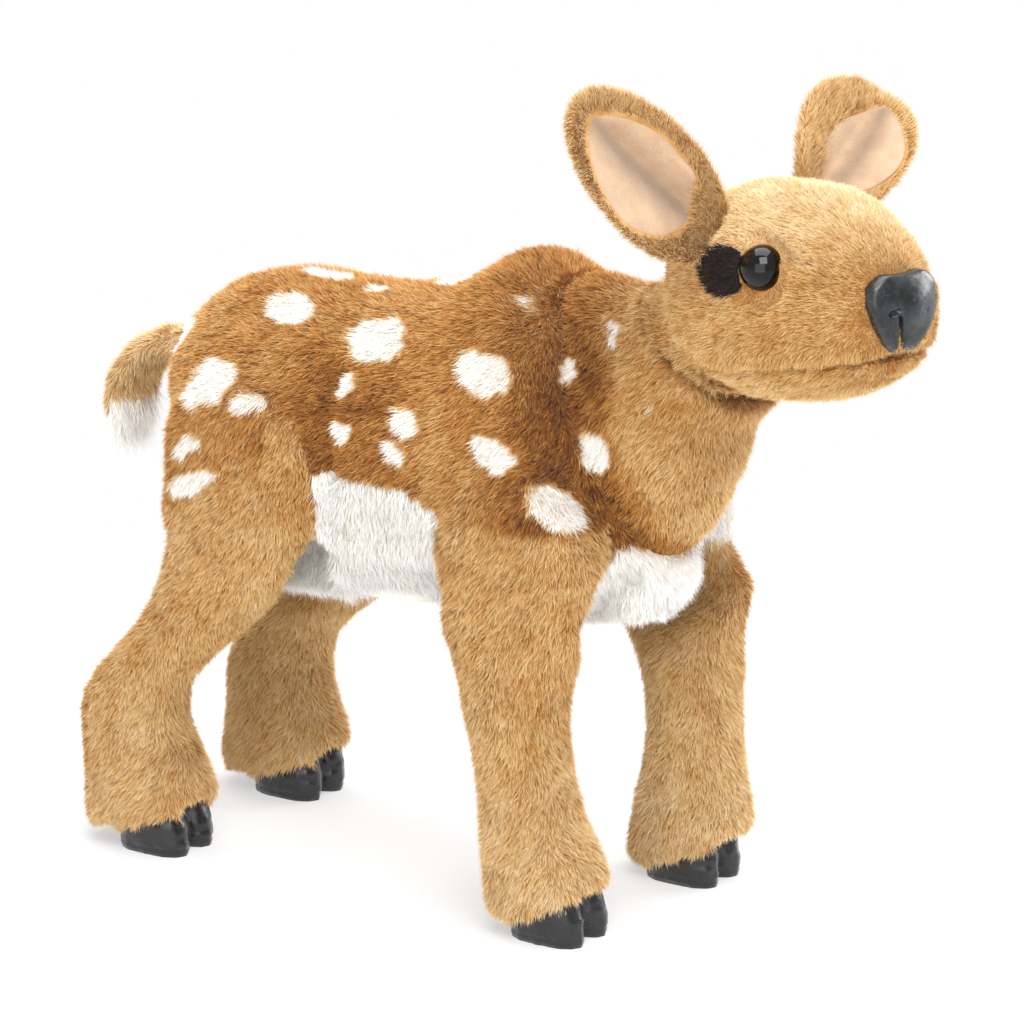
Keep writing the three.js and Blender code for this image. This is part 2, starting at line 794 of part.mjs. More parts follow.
const thumbBack = mouthHinge.clone().add(at(0, jawHingeRadius * 3.3, -jawHingeRadius * 0.18));
const thumbTip = mouthHinge
  .clone()
  .add(at(0, -thumbReach, thumbReach * Math.tan(radians(mouthSlope)) * 0.9));
const thumbPocket = loft([
  ovalRing(thumbBack, at(thumbHalfWidth * 1.2, 0, 0), at(0, 0, thumbHalfHeight * 1.2), 14),
  ovalRing(mouthHinge, at(thumbHalfWidth, 0, 0), at(0, 0, thumbHalfHeight), 14),
  ovalRing(thumbTip, at(thumbHalfWidth * 0.8, 0, 0), at(0, 0, thumbHalfHeight * 0.85), 14),
]);

const jawSolid = jawForm(0).subtract(thumbPocket);
const jawRoom = swept(jawForm(jointGap), 0, jawSwing, mouthHinge, at(1, 0, 0), 1);

const pocketMouth = neckTop.clone().addScaledVector(neckBack, pocketBack);
const pocketTip = pocketMouth.clone().add(at(0, -pocketRun, pocketRise));
const pocketStart = pocketMouth.clone().add(at(0, pocketRun * 0.35, -pocketRise * 0.35));

function fingerSpace(grow) {
  return bar(pocketStart, pocketTip.clone(), pocketRadius + grow, pocketTipRadius + grow, 14);
}

// Ears, built upright at their root and then leant: rows of height, half width and cup depth shares
const earShares = [
  [0.06, 0.34, 0.5],
  [0.2, 0.66, 0.9],
  [0.42, 0.96, 1],
  [0.62, 1, 0.85],
  [0.8, 0.82, 0.6],
  [0.93, 0.5, 0.3],
  [1, 0.18, 0.1],
];

function earLeaf(front, back, margin, from = 0, drop = 0) {
  const half = 5;
  const rings = earShares.slice(from).map(([heightShare, widthShare, cupShare]) => {
    const width = Math.max(earHalfWidth * widthShare - margin, earHalfWidth * 0.1);
    const height = heightShare * earLength - (heightShare > 0.9 ? margin : 0) - drop;
    const cup = earCup * cupShare;
    const curve = (i, offset) => {
      const across = -1 + (2 * i) / half;
      return at(width * across, offset - cup * across * across, height);
    };
    const ring = [];
    for (let i = 0; i <= half; i++) ring.push(curve(i, front));
    for (let i = half; i >= 0; i--) ring.push(curve(i, back));
    return ring;
  });
  // The ends are cut flat, as a fan over a cupped end would fold over itself
  const foot = rings[0][0].z + seamGap;
  const tip = rings[rings.length - 1][0].z - seamGap;
  return loft(rings)
    .intersect(halfSpace(at(0, 0, foot), at(0, 0, 1)))
    .intersect(halfSpace(at(0, 0, tip), at(0, 0, -1)));
}

function earPlace(side) {
  const lean = side < 0 ? at(-0.52, 0.42, 0.74) : at(0.8, 0.46, 0.37);
  const face = side < 0 ? at(-0.08, -0.9, 0.44) : at(-0.13, -0.5, 0.86);
  const up = lean.normalize();
  const across = face.clone().cross(up).normalize();
  const back = up.clone().cross(across).normalize();
  const matrix = new THREE.Matrix4().makeBasis(across.negate(), back.negate(), up);
  matrix.setPosition(side * earSide, earY, earZ);
  return matrix;
}

const earBack = earLeaf(-earThickness / 2, earThickness / 2, 0).add(ball(at(0, 0, 0), earBall, earBall, 10));
const earSheet = earLeaf(
  -earThickness / 2 - seamGap - earLiningThickness,
  -earThickness / 2 - seamGap,
  earMargin,
  1,
);
const earRootForm = earLeaf(
  -earThickness / 2 - earLiningThickness - jointGap * 2,
  earThickness / 2 + jointGap,
  -jointGap * 2,
  0,
  jointGap,
)
  .intersect(halfSpace(at(0, 0, earLength * 0.45), at(0, 0, -1)))
  .add(ball(at(0, 0, 0), earBall + jointGap, earBall + jointGap, 10));

function earRoom(side) {
  return moved(swept(earRootForm, -earSwing, earSwing, at(0, 0, 0), at(1, 0, 0), 1), earPlace(side));
}

// Eyes: a dome with a shank, held by a washer inside the skin
function eyeAxis(side) {
  return at(side * Math.cos(radians(eyeTurn)), -Math.sin(radians(eyeTurn)), 0);
}

function eyeParts(side) {
  const centre = at(side * eyeSide, eyeY, eyeZ);
  const out = eyeAxis(side);
  const inward = (run) => centre.clone().addScaledVector(out, -run);
  const shankFrom = inward(eyeRadius * 0.3);
  const shankTo = inward(shankLength);
  const washerAt = inward(shankLength * 0.85);
  const whole = (gap) => ball(centre, eyeRadius + gap, eyeRadius + gap, 14);
  const dome = (gap) => whole(gap).intersect(halfSpace(inward(eyeRadius * 0.45 + gap), out));
  const shank = (gap) => bar(shankFrom, shankTo, shankRadius + gap, shankRadius + gap, 8);
  const washer = (gap) =>
    bar(
      washerAt.clone().addScaledVector(out, washerThickness / 2 + gap),
      washerAt.clone().addScaledVector(out, -washerThickness / 2 - gap),
      washerRadius + gap,
      washerRadius + gap,
      14,
    );
  return {
    eye: dome(0).add(shank(0)),
    socket: dome(seamGap).add(shank(seamGap)),
    washer: washer(0).subtract(shank(seamGap)),
    washerRoom: washer(seamGap),
  };
}

const rightEye = eyeParts(-1);
const leftEye = eyeParts(1);

function patchForm(side) {
  const centre = at(0, eyeY + patchBack, eyeZ);
  const outline = ovalRing(centre, at(0, patchLength / 2, 0), at(0, 0, patchHeight / 2), 14, 2.3);
  const reach = (x) => outline.map((point) => point.clone().setX(side * x));
  const prism = loft([reach(headHalfWidth * 0.3), reach(headHalfWidth * 2)]);
  const socket = side < 0 ? rightEye.socket : leftEye.socket;
  const sheet = skull(-patchStand - seamGap).subtract(skull(-seamGap)).intersect(prism);
  return cutAll(sheet, [socket, earRoom(side)]);
}

// Nose: a shield of leatherette over the front of the muzzle, wide at the top
function noseForm() {
  const outlineShares = [
    [0, 0.46],
    [0.3, 0.48],
    [0.47, 0.36],
    [0.5, 0.14],
    [0.42, -0.12],
    [0.28, -0.36],
    [0.14, -0.48],
    [0, -0.44],
  ];
  const whole = [
    ...outlineShares,
    ...outlineShares
      .slice(1, -1)
      .reverse()
      .map(([x, z]) => [-x, z]),
  ];
  const ring = (y) => whole.map(([x, z]) => at(x * noseWidth, y, noseZ + z * noseHeight));
  const muzzle = headBackY - headLength;
  const prism = loft([ring(muzzle - overrun), ring(muzzle + headLength * 0.16)]);
  return skull(-noseStand - seamGap).subtract(skull(-seamGap)).intersect(prism);
}

const upperMouth = mouthSpace(lining + 2 * seamGap, true);
const headCutters = [jawRoom, earRoom(-1), earRoom(1), rightEye.socket, leftEye.socket];
const chinSpace = aheadOfHinge(0).subtract(upperMouth);
const headOutside = skull(0).add(moved(nape(0), headUnturn)).intersect(aboveNeckTop);
const headInside = skull(plushWall).add(moved(nape(plushWall), headUnturn));
const headForm = cutAll(headOutside.subtract(headInside), [...headCutters, chinSpace, thumbPocket]);
const headPacking = skull(plushWall + seamGap, 8)
  .add(moved(nape(plushWall + seamGap), headUnturn))
  .intersect(aboveNeckTop);
const headStuffingForm = cutAll(headPacking, [
  ...headCutters,
  chinSpace,
  thumbPocket,
  moved(fingerSpace(lining + seamGap), headUnturn),
  rightEye.washerRoom,
  leftEye.washerRoom,
]);
const pocketAlong = at(0, -pocketRun, pocketRise).normalize();
const pocketEnd = halfSpace(pocketTip.clone().addScaledVector(pocketAlong, -lining), pocketAlong);
const pocketShell = fingerSpace(lining).subtract(fingerSpace(0).subtract(pocketEnd));
const pocketForm = cutAll(pocketShell.intersect(overNeck), [
  moved(jawRoom, headTurn),
  moved(thumbPocket, headTurn),
]);

function mouthSheet(low, high) {
  const sheet = skull(plushWall / 2).intersect(mouthSpace(low, true)).intersect(mouthSpace(high, false));
  return sheet.intersect(aheadOfHinge(-jawHingeRadius));
}

// Assembly
const fawn = new THREE.Group();
const trunkGroup = new THREE.Group();
trunkGroup.add(
  piece("saddle_panel", trunkSkin.intersect(saddleSpace(seamGap)), spottedPlush),
  piece("belly_panel", trunkSkin.subtract(saddleSpace(0)), whitePlush),
  piece("body_stuffing", stuffingForm, stuffingWool),
  piece("hand_sleeve", sleeveForm, liningCloth),
  piece("sleeve_hem", hemForm, whitePlush),
);

const neckGroup = new THREE.Group();
neckGroup.add(
  piece("neck_cover", neckForm, tanPlush),
  piece("neck_lining", neckLiningForm, liningCloth),
  piece("finger_pocket", pocketForm, liningCloth),
);

const headGroup = new THREE.Group();
headGroup.applyMatrix4(headTurn);
headGroup.add(
  piece("head_cover", headForm, tanPlush),
  piece("head_stuffing", headStuffingForm, stuffingWool),
  piece("jaw_cover", jawSolid, tanPlush),
  piece("upper_mouth_lining", mouthSheet(seamGap / 2, seamGap / 2 + lining), liningCloth),
  piece("lower_mouth_lining", mouthSheet(-seamGap / 2 - lining, -seamGap / 2), liningCloth),
  piece("nose", noseForm(), leatherette),
  piece("eye_right", rightEye.eye, eyeGloss),
  piece("eye_left", leftEye.eye, eyeGloss),
  piece("eye_washer_right", rightEye.washer, washerPlastic),
  piece("eye_washer_left", leftEye.washer, washerPlastic),
  piece("eye_patch_right", patchForm(-1), darkPlush),
  piece("eye_patch_left", patchForm(1), darkPlush),
  piece("ear_right", moved(earBack, earPlace(-1)), tanPlush),
  piece("ear_left", moved(earBack, earPlace(1)), tanPlush),
  piece("ear_lining_right", moved(earSheet, earPlace(-1)), velour),
  piece("ear_lining_left", moved(earSheet, earPlace(1)), velour),
);

function legGroup(name, leg, side) {
  const made = makeLeg(leg);
  const place = (solid) => (side < 0 ? mirrored(solid) : solid);
  const group = new THREE.Group();
  group.add(
    piece("leg_" + name, place(made.cover), tanPlush),
    piece("leg_stuffing_" + name, place(made.packing), stuffingWool),
    piece("hoof_" + name, place(made.hoof), leatherette),
  );
  return group;
}

const tailBelow = sidePrism(tailUnderOutline(), -tailHalfWidth - overrun, tailHalfWidth + overrun);
const tailGroup = new THREE.Group();
tailGroup.add(
  piece("tail_top", tailSolid.subtract(tailBelow), tanPlush),
  piece("tail_underside", tailForm(0).intersect(tailBelow), whitePlush),
);

fawn.add(
  trunkGroup,
  neckGroup,
  headGroup,
  legGroup("front_right", foreLeg, -1),
  legGroup("front_left", foreLegAhead, 1),
  legGroup("hind_right", hindLeg, -1),
  legGroup("hind_left", hindLeg, 1),
  tailGroup,
);

// The origin is the middle of the base
const bounds = new THREE.Box3().setFromObject(fawn);
const middle = bounds.getCenter(at(0, 0, 0));
fawn.position.set(-middle.x, -middle.y, -bounds.min.z);

export default fawn;
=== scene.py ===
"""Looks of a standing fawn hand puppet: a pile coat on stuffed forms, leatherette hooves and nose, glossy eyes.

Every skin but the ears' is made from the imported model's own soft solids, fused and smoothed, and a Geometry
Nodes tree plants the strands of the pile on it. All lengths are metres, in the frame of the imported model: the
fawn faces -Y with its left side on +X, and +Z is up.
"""
import json
import logging
import math
from dataclasses import dataclass, field
from enum import Enum
from typing import Callable, Optional, Sequence

import bmesh
import bpy
import numpy as np
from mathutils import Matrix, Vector
from mathutils.bvhtree import BVHTree


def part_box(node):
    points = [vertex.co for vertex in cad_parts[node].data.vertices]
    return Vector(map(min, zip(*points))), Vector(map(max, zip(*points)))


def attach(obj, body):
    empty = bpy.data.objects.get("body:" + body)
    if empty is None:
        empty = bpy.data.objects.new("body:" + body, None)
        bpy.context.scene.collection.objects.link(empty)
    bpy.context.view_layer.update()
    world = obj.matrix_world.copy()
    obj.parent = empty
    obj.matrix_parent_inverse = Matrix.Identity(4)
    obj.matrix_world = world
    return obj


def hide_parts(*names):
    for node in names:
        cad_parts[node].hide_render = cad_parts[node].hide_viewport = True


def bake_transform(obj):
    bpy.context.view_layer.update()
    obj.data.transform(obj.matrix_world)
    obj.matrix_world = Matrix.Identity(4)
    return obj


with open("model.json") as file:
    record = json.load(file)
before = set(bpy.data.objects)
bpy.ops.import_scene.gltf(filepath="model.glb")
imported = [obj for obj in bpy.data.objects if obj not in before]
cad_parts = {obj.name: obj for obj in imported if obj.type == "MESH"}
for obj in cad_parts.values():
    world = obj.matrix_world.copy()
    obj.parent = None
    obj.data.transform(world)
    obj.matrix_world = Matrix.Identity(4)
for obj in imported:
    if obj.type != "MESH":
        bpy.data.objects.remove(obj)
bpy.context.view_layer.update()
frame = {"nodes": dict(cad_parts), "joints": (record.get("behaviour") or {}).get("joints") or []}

log = logging.getLogger("fawn")
MM = 0.001
BAKE_MAP = "OFBake"
Points = np.ndarray
Field = Callable[[Points, Points], Points]


class Side(Enum):
    """The fawn's own right and left, as the sign of X."""

    RIGHT = -1
    LEFT = 1

    @property
    def word(self) -> str:
        """The side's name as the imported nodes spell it."""
        return self.name.lower()


class Station(Enum):
    """The fore and the hind pair of legs."""

    FRONT = "front"
    HIND = "hind"


# Numbers on points


def smooth(value: Points, low: float, high: float) -> Points:
    """A soft step.

    Args:
        value: The numbers to step.
        low: Where the step starts, giving 0.
        high: Where the step ends, giving 1.

    Returns:
        Numbers from 0 to 1.
    """
    share = np.clip((value - low) / (high - low), 0, 1)
    return share * share * (3 - 2 * share)


def cloud(points: Points, size: float, seed: int) -> Points:
    """Smooth noise in space.

    Args:
        points: Rows of x, y, z.
        size: How far apart its swells are.
        seed: Picks one of many patterns.

    Returns:
        One number from -1 to 1 for each point.
    """
    place = points / size + seed * 17.31
    cell = np.floor(place).astype(np.int64)
    part = place - cell
    part = part * part * (3 - 2 * part)
    total = np.zeros(len(points))
    for corner in np.ndindex(2, 2, 2):
        at = cell + np.array(corner)
        mixed = at[:, 0] * 73856093 ^ at[:, 1] * 19349663 ^ at[:, 2] * 83492791 ^ (seed * 7919 + 13)
        mixed = ((mixed ^ (mixed >> 13)) * 1274126177) & 0xFFFFFFFF
        value = ((mixed ^ (mixed >> 16)) & 0xFFFF) / 32767.5 - 1
        weight = np.prod(np.where(corner, part, 1 - part), axis=1)
        total += weight * value
    return total


def drift(points: Points, size: float, seed: int) -> Points:
    """Three clouds as one wandering vector for each point."""
    return np.stack([cloud(points, size, seed + k) for k in range(3)], axis=1)


def unit(vectors: Points) -> Points:
    """The vectors at length 1."""
    return vectors / np.maximum(np.linalg.norm(vectors, axis=-1, keepdims=True), 1e-12)


def inside(outline: Sequence[tuple[float, float]], across: Points, up: Points) -> Points:
    """Which places lie inside a closed outline.

    Args:
        outline: The outline's corners.
        across: First coordinate of the places.
        up: Second coordinate of the places.

    Returns:
        One truth value for each place.
    """
    found = np.zeros(len(across), bool)
    for (y0, z0), (y1, z1) in zip(outline, [*outline[1:], outline[0]]):
        if z0 == z1:
            continue
        crosses = (z0 > up) != (z1 > up)
        found ^= crosses & (across < (y1 - y0) * (up - z0) / (z1 - z0) + y0)
    return found


def away_from_line(points: Points, start: Sequence[float], end: Sequence[float]) -> Points:
    """How far each point lies from a straight line between two places."""
    first, last = np.array(start), np.array(end)
    along = last - first
    share = np.clip((points - first) @ along / (along @ along), 0, 1)
    return np.linalg.norm(points - first - share[:, None] * along, axis=1)


def sides_of(points: Points) -> tuple[Points, Points, Points]:
    """The x, y and z of the points in millimetres."""
    return points[:, 0] / MM, points[:, 1] / MM, points[:, 2] / MM


def rows_of(x: object, y: object, z: object) -> Points:
    """Rows of x, y and z, each of which is one number for every row or one for all."""
    return np.stack(np.broadcast_arrays(x, y, z), axis=1)


# Shader nodes as Python expressions


class Signal:
    """A socket of a material's node tree, so that arithmetic on it adds the nodes."""

    def __init__(self, recipe: "Recipe", socket: bpy.types.NodeSocket) -> None:
        """Wraps a socket of a recipe's tree."""
        self.recipe = recipe
        self.socket = socket

    def _maths(self, operation: str, first: object, second: object) -> "Signal":
        """A Math node on two values."""
        return self.recipe.node("ShaderNodeMath", {"operation": operation}, {0: first, 1: second})

    def __add__(self, other: object) -> "Signal":
        """self + other."""
        return self._maths("ADD", self, other)

    def __radd__(self, other: object) -> "Signal":
        """other + self."""
        return self._maths("ADD", other, self)

    def __sub__(self, other: object) -> "Signal":
        """self - other."""
        return self._maths("SUBTRACT", self, other)

    def __rsub__(self, other: object) -> "Signal":
        """other - self."""
        return self._maths("SUBTRACT", other, self)

    def __mul__(self, other: object) -> "Signal":
        """self * other."""
        return self._maths("MULTIPLY", self, other)

    def __rmul__(self, other: object) -> "Signal":
        """other * self."""
        return self._maths("MULTIPLY", other, self)

    def __pow__(self, other: object) -> "Signal":
        """self ** other."""
        return self._maths("POWER", self, other)


class Recipe:
    """Builds one material's node tree."""

    def __init__(self, name: str) -> None:
        """Makes an empty material of that name."""
        self.material = bpy.data.materials.new(name)
        self.material.use_nodes = True
        self.tree = self.material.node_tree
        self.tree.nodes.clear()

    def node(self, kind: str, settings: dict, values: dict, output: object = 0) -> Signal:
        """Adds a node.

        Args:
            kind: The node's type.
            settings: Its own settings, such as an operation, or "stops" for a ramp.
            values: What its inputs get, by name or number: a Signal or a constant.
            output: The output to hand on, by name or number.

        Returns:
            That output.
        """
        made = self.tree.nodes.new(kind)
        stops = settings.pop("stops", None)
        for key, value in settings.items():
            setattr(made, key, value)
        if stops:
            self._set_stops(made.color_ramp, stops)
        for key, value in values.items():
            if isinstance(value, Signal):
                self.tree.links.new(value.socket, made.inputs[key])
            else:
                made.inputs[key].default_value = value
        return Signal(self, made.outputs[output])

    @staticmethod
    def _set_stops(ramp: bpy.types.ColorRamp, stops: Sequence[tuple]) -> None:
        """Gives a ramp its stops of place and colour."""
        while len(ramp.elements) < len(stops):
            ramp.elements.new(0.5)
        for element, (place, colour) in zip(ramp.elements, stops):
            element.position = place
            element.color = colour

    def noise(self, size: float, detail: float = 2.0) -> Signal:
        """Noise over the object's own coordinates.

        Args:
            size: How far apart its swells are.
            detail: How many finer layers it has.

        Returns:
            Its value, from 0 to 1.
        """
        values = {"Vector": self.place(), "Scale": 1 / size, "Detail": detail}
        return self.node("ShaderNodeTexNoise", {}, values, "Fac")

    def place(self) -> Signal:
        """The point's object coordinates."""
        return self.node("ShaderNodeTexCoord", {}, {}, "Object")

    def product(self, first: Signal, second: Signal) -> Signal:
        """Two colours multiplied."""
        settings = {"data_type": "RGBA", "blend_type": "MULTIPLY"}
        return self.node("ShaderNodeMix", settings, {0: 1.0, 6: first, 7: second}, 2)

    def bump(self, height: Signal, depth: float, strength: float) -> Signal:
        """A normal bent by a height.

        Args:
            height: The height, from 0 to 1.
            depth: How high 1 stands.
            strength: How much of it counts.

        Returns:
            The normal.
        """
        return self.node("ShaderNodeBump", {}, {"Height": height, "Distance": depth, "Strength": strength})

    def surface(self, **values: object) -> bpy.types.Material:
        """Ends the tree in a Principled shader.

        Args:
            **values: The shader's inputs, with _ for a space.

        Returns:
            The finished material.
        """
        named = {key.replace("_", " "): value for key, value in values.items()}
        shader = self.node("ShaderNodeBsdfPrincipled", {}, named)
        self.node_out(shader)
        return self.material

    def node_out(self, shader: Signal) -> None:
        """Joins a shader to the material's output."""
        out = self.tree.nodes.new("ShaderNodeOutputMaterial")
        self.tree.links.new(shader.socket, out.inputs["Surface"])


def srgb(red: float, green: float, blue: float) -> tuple[float, float, float, float]:
    """A colour picked as 0 to 255, as Blender's linear numbers."""
    linear = [((c / 255 + 0.055) / 1.055) ** 2.4 if c > 10 else c / 255 / 12.92 for c in (red, green, blue)]
    return (*linear, 1.0)


# Finishes


@dataclass(frozen=True)
class PileFinish:
    """Dyed pile, with painted shade darkening each strand towards its root and painted light on its tip. The first
    bake coordinate is the tone's place on one scale from black to white, the second how far up the strand."""

    name: str = "pile"
    root_shade: float = 0.46
    tip_lift: float = 0.16
    roughness: float = 0.75
    dyes: tuple = (
        (0.00, (20, 15, 18)),
        (0.08, (44, 29, 26)),
        (0.20, (112, 66, 28)),
        (0.33, (168, 106, 42)),
        (0.46, (210, 148, 69)),
        (0.58, (229, 190, 125)),
        (0.70, (246, 214, 156)),
        (0.80, (250, 226, 180)),
        (0.89, (250, 234, 204)),
        (0.96, (253, 250, 244)),
        (1.00, (255, 255, 254)),
    )

    def material(self) -> bpy.types.Material:
        """The finish as a material."""
        r = Recipe(self.name)
        uv = r.node("ShaderNodeUVMap", {"uv_map": BAKE_MAP}, {})
        dye = r.node("ShaderNodeSeparateXYZ", {}, {0: uv}, "X")
        along = r.node("ShaderNodeSeparateXYZ", {}, {0: uv}, "Y")
        stops = [(place, srgb(*colour)) for place, colour in self.dyes]
        # Painted light: the tip of each strand is moved up the scale, as if lit.
        tip_lit_tone = dye + self.tip_lift * (along - 0.5)
        colour = r.node("ShaderNodeValToRGB", {"stops": stops}, {0: tip_lit_tone}, "Color")
        white = r.node("ShaderNodeMapRange", {}, {0: dye, 1: 0.82, 2: 0.97, 3: 1.0, 4: 0.3})
        # Painted shade: the root of each strand is darkened with a warm brown, less on white pile, as if in the
        # pile's shade.
        depth = (1 - along) ** 1.4 * white * (1 - self.root_shade)
        shadow = {0: 1 - 0.84 * depth, 1: 1 - depth, 2: 1 - 1.1 * depth}
        painted_root_shade = r.node("ShaderNodeCombineColor", {}, shadow)
        return r.surface(
            Base_Color=r.product(colour, painted_root_shade),
            Roughness=self.roughness,
            Specular_IOR_Level=0.25,
            Sheen_Weight=0.15,
            Sheen_Roughness=0.5,
        )


@dataclass(frozen=True)
class ClothFinish:
    """Short-napped cloth, such as the ear velour and the linings, with painted shade along the middle of the ear
    lining's valley where asked.
    """

    name: str
    colour: tuple[int, int, int]
    shadow: tuple[int, int, int]
    nap: float = 0.7 * MM
    depth: float = 0.25 * MM
    roughness: float = 0.85
    hollow: float = 0.0

    def material(self) -> bpy.types.Material:
        """The finish as a material."""
        r = Recipe(self.name)
        fine = r.noise(self.nap, 3.0)
        broad = r.noise(9 * MM, 2.0)
        mix = 0.55 * broad + 0.45 * fine
        ramp = {"stops": [(0.3, srgb(*self.shadow)), (0.68, srgb(*self.colour))]}
        colour = r.node("ShaderNodeValToRGB", ramp, {0: mix}, "Color")
        # Painted shade: the cloth is darkened towards the middle line of the ear lining's valley, read from the
        # bake map.
        if self.hollow:
            uv = r.node("ShaderNodeUVMap", {"uv_map": BAKE_MAP}, {})
            aside = r.node("ShaderNodeSeparateXYZ", {}, {0: uv}, "X") - 0.51
            reach = r.node("ShaderNodeMath", {"operation": "ABSOLUTE"}, {0: aside})
            shade = r.node("ShaderNodeMapRange", {}, {0: reach, 1: 0.02, 2: 0.26, 3: 1 - self.hollow, 4: 1.0})
            grey = r.node("ShaderNodeCombineColor", {}, {0: shade, 1: shade, 2: shade})
            colour = r.product(colour, grey)
        return r.surface(
            Base_Color=colour,
            Roughness=self.roughness,
            Specular_IOR_Level=0.2,
            Sheen_Weight=0.3,
            Normal=r.bump(fine, self.depth, 0.7),
        )


@dataclass(frozen=True)
class LeatheretteFinish:
    """Satin black leatherette with fine grain and lighter patches by noise: rubbed wear on the hooves, and on the
    nose, whose patches are lighter, rubbed wear and painted highlights.
    """

    name: str
    colour: tuple[int, int, int] = (6, 7, 8)
    rubbed: tuple[int, int, int] = (20, 22, 24)
    grain: float = 0.7 * MM
    roughness: float = 0.24

    def material(self) -> bpy.types.Material:
        """The finish as a material."""
        r = Recipe(self.name)
        cells = r.node(
            "ShaderNodeTexVoronoi", {"feature": "DISTANCE_TO_EDGE"},
            {"Vector": r.place(), "Scale": 1 / self.grain, "Randomness": 1.0}, "Distance",
        )
        wear_and_highlight = r.noise(6 * MM, 4.0)
        streak = r.noise(2.2 * MM, 5.0)
        # The lighter patches are rubbed wear, and where their colour is light, as on the nose, painted highlight.
        ramp = {"stops": [(0.38, srgb(*self.colour)), (0.72, srgb(*self.rubbed))]}
        colour = r.node("ShaderNodeValToRGB", ramp, {0: 0.6 * wear_and_highlight + 0.4 * streak}, "Color")
        return r.surface(
            Base_Color=colour,
            Roughness=self.roughness + 0.22 * (streak - 0.4),
            Specular_IOR_Level=0.45,
            Coat_Weight=0.45,
            Coat_Roughness=0.16,
            Normal=r.bump(0.4 * cells + 0.9 * streak, 0.32 * MM, 0.75),
        )


@dataclass(frozen=True)
class EyeFinish:
    """Black moulded plastic under a clear polish."""

    name: str = "eye_black"

    def material(self) -> bpy.types.Material:
        """The finish as a material."""
        r = Recipe(self.name)
        ring = r.noise(5 * MM, 1.0)
        ramp = {"stops": [(0.3, srgb(3, 2, 3)), (0.8, srgb(11, 7, 6))]}
        colour = r.node("ShaderNodeValToRGB", ramp, {0: ring}, "Color")
        return r.surface(Base_Color=colour, Roughness=0.04, IOR=1.44, Specular_IOR_Level=0.5)


# Meshes


def points_in(mesh: bpy.types.Mesh) -> Points:
    """The mesh's vertices as rows."""
    flat = np.empty(len(mesh.vertices) * 3, np.float32)
    mesh.vertices.foreach_get("co", flat)
    return flat.reshape(-1, 3).astype(float)


def normals_in(mesh: bpy.types.Mesh) -> Points:
    """The mesh's vertex normals as rows."""
    flat = np.empty(len(mesh.vertices) * 3, np.float32)
    mesh.vertex_normals.foreach_get("vector", flat)
    return flat.reshape(-1, 3).astype(float)


def tree_of(mesh: bpy.types.Mesh) -> BVHTree:
    """The mesh's surface for finding nearest places."""
    return BVHTree.FromPolygons([v.co for v in mesh.vertices], [p.vertices for p in mesh.polygons])


def nearest_on(tree: BVHTree, points: Points) -> tuple[Points, Points, Points]:
    """For each point, the nearest place of a surface, the surface's normal there, and how far away it is."""
    found = [tree.find_nearest(Vector(p)) for p in points]
    place, normal, away = (np.array([f[k] for f in found]) for k in (0, 1, 3))
    return place, normal, away


def move_to(mesh: bpy.types.Mesh, points: Points) -> None:
    """Puts the mesh's vertices at these places."""
    mesh.vertices.foreach_set("co", points.astype(np.float32).ravel())
    mesh.update()


def show(name: str, mesh: bpy.types.Mesh, material: bpy.types.Material) -> bpy.types.Object:
    """A linked, smooth-shaded object.

    Args:
        name: The piece's name.
        mesh: Its mesh.
        material: Its only material.

    Returns:
        The object, at the origin.
    """
    mesh.name = name
    mesh.materials.clear()
    mesh.materials.append(material)
    mesh.polygons.foreach_set("use_smooth", np.ones(len(mesh.polygons), bool))
    mesh.polygons.foreach_set("material_index", np.zeros(len(mesh.polygons), np.int32))
    piece = bpy.data.objects.new(name, mesh)
    bpy.context.scene.collection.objects.link(piece)
    return piece


def settled(piece: bpy.types.Object) -> bpy.types.Mesh:
    """The piece's evaluated mesh. The object and its old mesh are removed."""
    depsgraph = bpy.context.evaluated_depsgraph_get()
    made = bpy.data.meshes.new_from_object(piece.evaluated_get(depsgraph))
    old = piece.data
    bpy.data.objects.remove(piece)
    bpy.data.meshes.remove(old)
    return made


def set_map(mesh: bpy.types.Mesh, across: Points, up: Points) -> None:
    """Gives each vertex one place on the bake map."""
    layer = mesh.uv_layers.get(BAKE_MAP) or mesh.uv_layers.new(name=BAKE_MAP, do_init=False)
    corner = np.empty(len(mesh.loops), np.int32)
    mesh.loops.foreach_get("vertex_index", corner)
    layer.uv.foreach_set("vector", np.stack([across, up], 1)[corner].astype(np.float32).ravel())


def set_attribute(mesh: bpy.types.Mesh, name: str, kind: str, values: Points) -> None:
    """Stores one number or vector for each vertex."""
    attribute = mesh.attributes.new(name, kind, "POINT")
    attribute.data.foreach_set("value" if kind == "FLOAT" else "vector", values.astype(np.float32).ravel())


